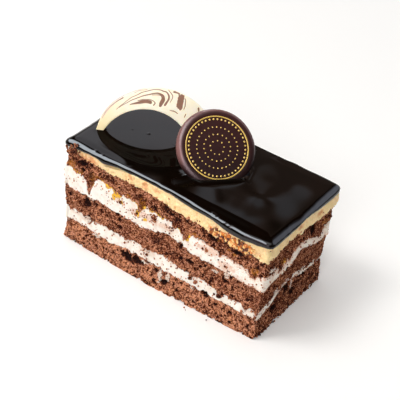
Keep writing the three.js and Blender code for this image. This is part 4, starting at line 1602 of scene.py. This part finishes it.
# Larger crumbs caught in the cream: place, height, size in millimetres and, for some, how far they stand out.
CRUMBS = on(
    "front", (-31.5, 34.3, 1.2), (-28.4, 33, 0.7), (-21.2, 33.2, 2), (-22.8, 32.4, 1.2),
    (-13.3, 30.9, 1.8), (-12.4, 32, 1.6), (-13, 29.3, 1.2), (-4, 34.3, 3.3), (-3.7, 32.8, 2.3),
    (-7, 34, 0.8), (5.1, 33.6, 1.2), (17, 33.7, 1), (18.4, 33.5, 1), (20.6, 31.6, 1.5), (22.3, 31.7, 2.1),
    (21, 32.8, 0.9), (24.6, 31.2, 1.1), (28.3, 30.2, 1.1), (31.7, 28.6, 1.5), (33.7, 27.4, 1.4),
    (35.6, 28.4, 0.7), (31.4, 31.8, 0.8), (41.4, 31, 1.1), (-42.6, 17.4, 1.2), (-6, 13.6, 1.4),
    (-17.4, 13.7, 1.1), (16.3, 13.4, 1.8), (18.9, 12.8, 2), (28.4, 12.1, 1.2), (30.6, 12.3, 2.2),
    (42, 10.9, 1.4), (48.6, 11.2, 1.6), (46.6, 13.6, 1.1)) + on(
    "right", (-20, 32.2, 1.3), (-10.5, 31.6, 1.6), (12.5, 28.6, 1.3), (-4, 17, 1.6), (18, 14, 1.2))
# A streak of crumbs that the knife dragged up over the rim near the left end.
STREAK_CRUMBS = on(
    "front", (-50.2, 47.5, 1.1, 1.2), (-49.2, 48.3, 1.2, 1.5), (-49.1, 46.4, 1.2, 1.2),
    (-48, 48, 1.3, 1.5), (-47.5, 46.1, 1.3, 1), (-46.9, 49.6, 1.2, 1.6), (-46.3, 47.8, 1.4, 1.7),
    (-45.9, 45.9, 1.2, 1), (-45.3, 49.9, 1.3, 1.6), (-45.8, 50.9, 1.1, 1.1), (-44.4, 50.8, 1.1, 1.3),
    (-44.3, 48.7, 1.2, 1.7), (-44.2, 51.4, 0.9, 1), (-42.8, 48.5, 1, 1.5), (-48.6, 44.8, 1.4, 0.3),
    (-43.4, 45, 1, 0.3), (-44.6, 44.4, 1.3, 0.3), (-47.2, 44.4, 1.3, 0.4), (-49.6, 45.2, 1.8, 0.5),
    (-48.2, 46.6, 1.9, 0.9), (-46.8, 45.4, 1.7, 0.5), (-47, 47.4, 1.8, 1.2), (-45.6, 46.6, 1.6, 0.8),
    (-45.6, 48.6, 1.6, 1.4), (-44.6, 45.6, 1.3, 0.4), (-49.8, 46.6, 1.5, 0.9), (-44, 47.2, 1, 1))
# Crumbs soaked with syrup.
SOAKED_CRUMBS = on(
    "front", (-11, 37.6, 3.2), (-10.4, 35.8, 2.6), (-12.6, 31.8, 2), (-13.4, 31, 1.6), (-37.2, 36.6, 1.8),
    (-36.9, 34.8, 1.5), (-37.6, 38.4, 1.9), (-24.6, 34.4, 1.4), (-23.4, 36.4, 1.3), (13, 33, 1.8),
    (12.4, 34.8, 1.9), (-46, 38.4, 1.4))
# Crumbs that fell off the front.
FALLEN_CRUMBS = on(
    "front", (17.3, 0.35, 0.9, 3.1), (28.6, 0.3, 0.7, 3.3), (18.4, 0.25, 0.5, 4))


def side_frame(side, place):
    """Point on the cut line and outward normal at a place along a side."""
    cake = walls()
    chosen = np.where(cake.side == side)[0]
    best = chosen[np.argmin(np.abs(cake.place[chosen] - place))]
    return cake.points[best], cake.normals[best]


def paint_crumbs(obj, tones, wet=0.0):
    """Stores what the sponge's material reads: each crumb's tone, no cream, and how wet it is."""
    paint(obj, "tone", tones)
    paint(obj, "smear", np.zeros(len(tones)))
    paint(obj, "syrup", np.full(len(tones), wet))


def placed_lumps(name, items, material, slot, seed, sunk=0.1, wet=0.0, tone=(0.15, 0.75)):
    """Joins uneven lumps at given places on the cut faces into one piece, dry or soaked with syrup.

    A lump that stands well out has no twin on the far side.
    """
    vertices, faces, tones, count = [], [], [], 0
    for i, (side, place, height, size, *stand) in enumerate(items):
        stand = sum(stand)
        for which, along in twins(side, place)[:1 if stand > 0.5 else 2]:
            point, normal = side_frame(which, along)
            stamp = lump("stamp", seed + 7 * i + (which != side), size > 1)
            co = np.array([v.co[:] for v in stamp.data.vertices]) / MM
            co = co @ np.array(Matrix.Rotation(chance(i, seed, 3, 5) * TAU, 3, "Z"))
            right = np.array([-normal[1], normal[0], 0])
            up = np.array([0, 0, 1])
            out = np.array([normal[0], normal[1], 0])
            base = np.array([point[0], point[1], height]) + out * (stand - sunk * size)
            vertices.append(base + size * (co[:, :1] * right + co[:, 1:2] * up + co[:, 2:] * out))
            stamp.data.calc_loop_triangles()
            faces.append(np.array([t.vertices[:] for t in stamp.data.loop_triangles]) + count)
            count += len(co)
            tones.append(np.full(len(co), tone[0] + (tone[1] - tone[0]) * chance(i, seed, 9, 6)))
            bpy.data.objects.remove(stamp)
    obj = new_object(name, np.concatenate(vertices), np.concatenate(faces))
    paint_crumbs(obj, np.concatenate(tones), wet)
    return finish_piece(obj, material, slot)


def foot_crumbs(count=130):
    """Crumbs along the foot of the cake: side, place, height, size, and how far they stand out."""
    along, up, large, out = (draws(count, k, 79) for k in range(4))
    at_end = np.arange(count) % 3 == 0
    side = np.where(at_end, "right", "front")
    place = (2 * along - 1) * np.where(at_end, 25.0, 50.0)
    rows = zip(side, place, 0.35 + 1.2 * up ** 2, 0.5 + 0.5 * large, 0.3 * out)
    return [(str(which), *values) for which, *values in rows]


class GATEAU_OT_crumbs(bpy.types.Operator):
    """Press the larger crumbs in, strew some along the foot and scatter fine ones over the layers"""
    bl_idname = "gateau.crumbs"
    bl_label = "Crumbs"

    def execute(self, context):
        sponge = sponge_material()
        placed_lumps("crumbs_pressed_in", CRUMBS + STREAK_CRUMBS, sponge, "sponge", 500, tone=(0.3, 0.8))
        placed_lumps("crumbs_soaked", SOAKED_CRUMBS, sponge, "sponge", 640, sunk=0.25, wet=0.6)
        placed_lumps("crumbs_at_foot", foot_crumbs() + FALLEN_CRUMBS, sponge, "sponge", 720, tone=(0.2, 0.8))
        tree = scatter_tree()
        for i, (layer, density) in enumerate(CRUMB_DENSITY.items()):
            stamp = lump("crumb", 40 + i)
            obj = run_tree("crumbs_on_" + layer, tree, bpy.data.objects[layer + "_cut"].data, {
                "Lump": stamp, "Density": density / MM ** 2, "Size": settings("sizes").crumb_size / MM,
                "Seed": 4 + i, "Material": sponge})
            each = len(stamp.data.vertices)
            bpy.data.objects.remove(stamp)
            number = len(obj.data.vertices) // each
            paint_crumbs(obj, np.repeat(0.3 + 0.65 * draws(number, i, 88), each))
            finish_piece(obj, sponge, "sponge")
        return {"FINISHED"}


# Where the praline lies along the front, and how its height falls from left to right.
PRALINE_ENDS = (22.5, 43.5)
PRALINE_LEVELS = (42.8, 41.5)
# The largest bits, and those that were roasted darkest: place, height, size, and how far they stand out.
PRALINE_LUMPS = on(
    "front", (37.8, 42.4, 2.4, 0.2), (40.2, 41.9, 2.6, 0.2), (39.3, 43.6, 2, 0.3), (35.9, 42.8, 1.9, 0.2),
    (31.5, 43.8, 1.8, 0.2), (30.5, 41.8, 1.8, 0.1), (27.7, 43.8, 1.5, 0.1), (33.4, 43, 1.7, 0.2),
    (42, 41.4, 1.8, 0.1))
DARK_PRALINE = on(
    "front", (40.3, 42.2, 2.3, 0.4), (41.7, 41.4, 1.8, 0.3), (39, 41.4, 1.7, 0.3), (38.2, 42.8, 1.2, 0.4),
    (27.3, 44, 1.1, 0.2), (31, 41.2, 1.2, 0.2), (33.9, 40.6, 1.2, 0.2), (24, 43.4, 0.9, 0.2))


def praline_items(count=120):
    """Bits of praline strewn along their band: side, place, height, size, and how far they stand out."""
    along, up, large, out = (draws(count, k, 77) for k in range(4))
    place = PRALINE_ENDS[0] + (PRALINE_ENDS[1] - PRALINE_ENDS[0]) * along ** 0.85
    level = np.interp(place, PRALINE_ENDS, PRALINE_LEVELS) + 4.4 * (up - 0.5) * (0.6 + 0.4 * along)
    return on("front", *zip(place, level, 0.8 + 1.5 * large ** 2, 0.3 * out))


class GATEAU_OT_praline(bpy.types.Operator):
    """Press bits of praline into the buttercream"""
    bl_idname = "gateau.praline"
    bl_label = "Praline"

    def execute(self, context):
        for name, items, seed, tone in (
                ("praline_bits", PRALINE_LUMPS + praline_items(), 900, (0.0, 0.85)),
                ("praline_roasted", DARK_PRALINE, 980, (-0.3, 0.05))):
            placed_lumps(name, items, praline_material(), "buttercream", seed, sunk=0.05, tone=tone)
        return {"FINISHED"}


# ---------------------------------------------------------------- stage

# What the camera looks at, in millimetres.
LOOK_AT = (6.22, -9.0, 39.1)
# The floor lies a little below the cake, so that their faces don't meet.
FLOOR_HALF, FLOOR_LEVEL = 3000.0, -0.05
# The middle of the glaze, which the reflected cards stand round, in millimetres.
CARD_MIDDLE = (0.0, 0.0, 51.0)
# Brightness of the room by height, from straight down to straight up.
ROOM_STOPS = ((0.0, 0.9), (0.35, 0.7), (0.7, 0.45), (0.88, 0.6), (1.0, 1.7))


def area_light(name, place, target, size, power, tint=(1, 1, 1)):
    """A rectangular lamp at a place, turned to its target."""
    light = bpy.data.lights.new(name, "AREA")
    light.shape = "RECTANGLE"
    light.size, light.size_y = size
    light.energy = power
    light.color = tint
    obj = bpy.data.objects.new(name, light)
    obj.location = place
    obj.rotation_euler = (Vector(target) - Vector(place)).to_track_quat("-Z", "Y").to_euler()
    bpy.context.scene.collection.objects.link(obj)
    return obj


def direction(azimuth, elevation):
    """Unit vector towards a place round the table: azimuth 0 is in front, positive to the right."""
    a, e = azimuth * DEGREE, elevation * DEGREE
    return Vector((math.sin(a) * math.cos(e), -math.cos(a) * math.cos(e), math.sin(e)))


# What the glaze mirrors at the back, as shares of the card's brightness: each patch's azimuth and elevation,
# half its width and height in degrees, its brightness, how soft its edge is, and how square it is.
FAR_WALL = [
    (-161.5, 31, 12, 9.2, 0.16, 0.03, 8), (-141.3, 28.2, 8, 7, 1, 0.04, 8),
    (-137.5, 38.1, 5.3, 7, 1.1, 0.08, 8), (-144.6, 40.2, 2.2, 1.4, 1.15, 0.3, 3),
    (-145.6, 36.7, 1.3, 0.4, 0.4, 0.5, 2), (-150.9, 37.4, 0.9, 0.8, 0.65, 0.5, 2),
    (-152.3, 37.6, 0.8, 0.5, 0.5, 0.5, 2), (-153.4, 38, 0.9, 0.5, 0.6, 0.5, 2),
    (-154.8, 38.4, 1, 0.5, 0.5, 0.5, 2), (-157.3, 37.1, 0.9, 0.6, 0.5, 0.5, 2),
    (-158.2, 36.1, 0.7, 0.6, 0.46, 0.5, 2), (-154.9, 35.5, 0.7, 0.5, 0.34, 0.5, 2),
    (-156.8, 38.4, 0.6, 0.4, 0.06, 0.5, 2), (-152.1, 37, 0.4, 0.4, 0.05, 0.5, 2),
    (-155.5, 33.6, 1.4, 0.5, 0.3, 0.5, 2), (-153.4, 36.4, 1.4, 0.4, 0.1, 0.5, 2),
]
WALL_TINT = (1.0, 0.72, 0.6)
WINDOW_TINT = (0.93, 0.93, 1.0)
COOL_WINDOW_TINT, COOL_WALL_TINT, WARM_WALL_TINT = (0.86, 0.93, 1.0), (0.8, 0.85, 1.0), (1.0, 0.82, 0.88)


def patch_glow(points, patches):
    """Brightness of a card at each point from its patches, the later ones over the earlier ones."""
    way = points - np.array(CARD_MIDDLE)
    way /= np.linalg.norm(way, axis=1)[:, None]
    azimuth = np.degrees(np.arctan2(way[:, 0], -way[:, 1]))
    elevation = np.degrees(np.arcsin(way[:, 2]))
    glow = np.full(len(points), 0.01)
    for middle, height, half_width, half_height, level, soft, square in patches:
        away = (np.abs((azimuth - middle) / half_width) ** square
                + np.abs((elevation - height) / half_height) ** square) ** (1 / square)
        glow += (level - glow) * (1 - smooth(1 - soft, 1 + soft, away))
    return glow


class GATEAU_OT_stage(bpy.types.Operator):
    """Set up the floor, the room's light, the lamps and the camera"""
    bl_idname = "gateau.stage"
    bl_label = "Stage"

    def execute(self, context):
        stage = settings("stage")
        square = np.array([(-1, -1), (1, -1), (1, 1), (-1, 1)]) * FLOOR_HALF
        corners = np.column_stack([square, np.full(4, FLOOR_LEVEL)])
        floor = new_object("floor", corners, np.array([[0, 1, 2, 3]]))
        material, s = new_material("Pale floor")
        s.shade(Base_Color=s.mix(s.mottle(400.0, 0.3), settings("colours").floor, (0.95, 0.945, 0.94)),
                Roughness=0.8, Specular_IOR_Level=0.1, Emission_Color=(1, 1, 1, 1), Emission_Strength=0.12)
        floor.data.materials.append(material)
        self.room(stage)

        target = Vector(LOOK_AT) * MM
        area_light("key", target + 1.5 * direction(-47, 57), target, (0.55, 0.55), stage.key_power,
                   (1.0, 0.985, 0.96))
        area_light("fill", target + 1.2 * direction(16, 33), target, (0.32, 0.32), stage.fill_power)
        area_light("top", target + Vector((0, 0, 2.0)), target, (1.6, 1.6), stage.top_power)
        # What the glaze mirrors: a bright window low at the back left with dim wall round it, a dark ceiling
        # over both, and what its rim catches from the sides and the front.
        self.card("dark ceiling", -150, 40, (1.5, 1.0), 1.7, 0.12)
        self.card("far wall", -152, 33, (1.15, 0.68), 1.5, stage.card_glow, patches=FAR_WALL)
        self.card("side wall", 160, 32, (1.3, 0.9), 1.5, 1.5, COOL_WALL_TINT)
        self.card("left window", -66, 52, (1.3, 0.8), 1.2, 10.0, COOL_WINDOW_TINT)
        self.card("dark hall", -28, 8, (0.5, 0.42), 1.2, 0.08)
        self.card("front wall", 4, 25, (0.9, 0.8), 1.1, 11.0, WARM_WALL_TINT)
        self.camera(stage, target)
        bpy.context.scene.view_settings.view_transform = "Standard"
        return {"FINISHED"}

    def room(self, stage):
        """Light from all round, by height, and darker on the right."""
        world = bpy.data.worlds.new("Room")
        world.use_nodes = True
        bpy.context.scene.world = world
        s = Shading(world.node_tree)
        way = s.node("ShaderNodeSeparateXYZ", {0: s.node("ShaderNodeTexCoord").outputs["Generated"]})
        shade = s.node("ShaderNodeValToRGB", {"Fac": way.outputs["Z"]})
        elements = shade.color_ramp.elements
        for i, (at, value) in enumerate(ROOM_STOPS):
            element = elements[i] if i < 2 else elements.new(at)
            element.position = at
            element.color = (value, value * 0.985, value * 0.97, 1)
        side = s.ramp(way.outputs["X"], -0.6, 0.8, 1.1, 0.2)
        background = world.node_tree.nodes["Background"]
        put(s.tree, background.inputs["Color"], s.tinted(shade.outputs["Color"], s.grey(side)))
        background.inputs["Strength"].default_value = stage.room_glow

    def card(self, name, azimuth, elevation, size, distance, glow, tint=(1, 1, 1), patches=()):
        """A card that is seen only in reflections.

        Its middle's direction, its width and height in metres, its distance, its brightness, and patches that
        take up that brightness instead of an even glow.
        """
        away = direction(azimuth, elevation)
        centre = Vector(CARD_MIDDLE) * MM + distance * away
        right = Vector((0, 0, 1)).cross(away).normalized()
        up = away.cross(right)
        columns, rows = (180, 90) if patches else (2, 2)
        across, along = np.meshgrid(np.linspace(-0.5, 0.5, columns), np.linspace(-0.5, 0.5, rows))
        points = (np.array(centre) + across.reshape(-1, 1) * size[0] * np.array(right)
                  + along.reshape(-1, 1) * size[1] * np.array(up)) / MM
        i = np.arange(rows - 1)[:, None] * columns + np.arange(columns - 1)[None, :]
        card = new_object(name, points, np.stack([i, i + 1, i + columns + 1, i + columns], -1).reshape(-1, 4))
        material, s = new_material(name)
        s.shade(Base_Color=(0, 0, 0, 1), Roughness=1.0, Specular_IOR_Level=0.0, Emission_Color=(*tint, 1),
                Emission_Strength=glow)
        if patches:
            paint(card, "glow", patch_glow(points, patches))
            level = s.attribute("glow")
            shades = s.mix(s.ramp(level, 0.15, 0.5), WALL_TINT, WINDOW_TINT)
            s.shade(Emission_Color=s.tinted(shades, s.grey(level)))
        card.data.materials.append(material)
        card.visible_camera = False
        card.visible_diffuse = False
        card.visible_shadow = False

    def camera(self, stage, target):
        """The camera, from the settings, looking at the target."""
        data = bpy.data.cameras.new("camera")
        data.lens = stage.lens
        data.sensor_width = 36
        data.clip_start, data.clip_end = 0.01, 20
        camera = bpy.data.objects.new("camera", data)
        bpy.context.scene.collection.objects.link(camera)
        turn = (Matrix.Rotation(stage.azimuth, 4, "Z")
                @ Matrix.Rotation(math.pi / 2 - stage.elevation, 4, "X")
                @ Matrix.Rotation(stage.roll, 4, "Z"))
        back = turn.to_3x3() @ Vector((0, 0, 1))
        shift = Vector((0, CUT_MIDDLE[1] * MM, 0))
        camera.matrix_world = Matrix.Translation(target + shift + back * stage.distance) @ turn
        bpy.context.scene.camera = camera


# ---------------------------------------------------------------- panel and registration

GROUPS = {"gateau_sizes": GateauSizes, "gateau_colours": GateauColours, "gateau_stage": GateauStage}
OPERATORS = [
    GATEAU_OT_sponges, GATEAU_OT_creams, GATEAU_OT_buttercream, GATEAU_OT_glaze, GATEAU_OT_disc,
    GATEAU_OT_gold, GATEAU_OT_crescent, GATEAU_OT_crumbs, GATEAU_OT_praline, GATEAU_OT_stage,
]


class GATEAU_PT_panel(bpy.types.Panel):
    """Lists the steps of making the slice"""
    bl_idname = "GATEAU_PT_panel"
    bl_label = "Layered gateau slice"
    bl_space_type = "VIEW_3D"
    bl_region_type = "UI"
    bl_category = "Gateau"

    def draw(self, context):
        for operator in OPERATORS:
            self.layout.operator(operator.bl_idname)
        for name in GROUPS:
            group = getattr(context.scene, name)
            box = self.layout.box()
            for key in group.__annotations__:
                box.prop(group, key)


CLASSES = (*GROUPS.values(), *OPERATORS, GATEAU_PT_panel)


def register():
    """Registers the classes and ties the settings to the scene."""
    for cls in CLASSES:
        bpy.utils.register_class(cls)
    for name, cls in GROUPS.items():
        setattr(bpy.types.Scene, name, bpy.props.PointerProperty(type=cls))


def unregister():
    """Takes back what register did."""
    for name in GROUPS:
        delattr(bpy.types.Scene, name)
    for cls in reversed(CLASSES):
        bpy.utils.unregister_class(cls)


def main():
    """Makes every piece and the stage in order."""
    register()
    for operator in OPERATORS:
        _, step = operator.bl_idname.split(".")
        getattr(bpy.ops.gateau, step)()


if __name__ == "__main__":
    main()
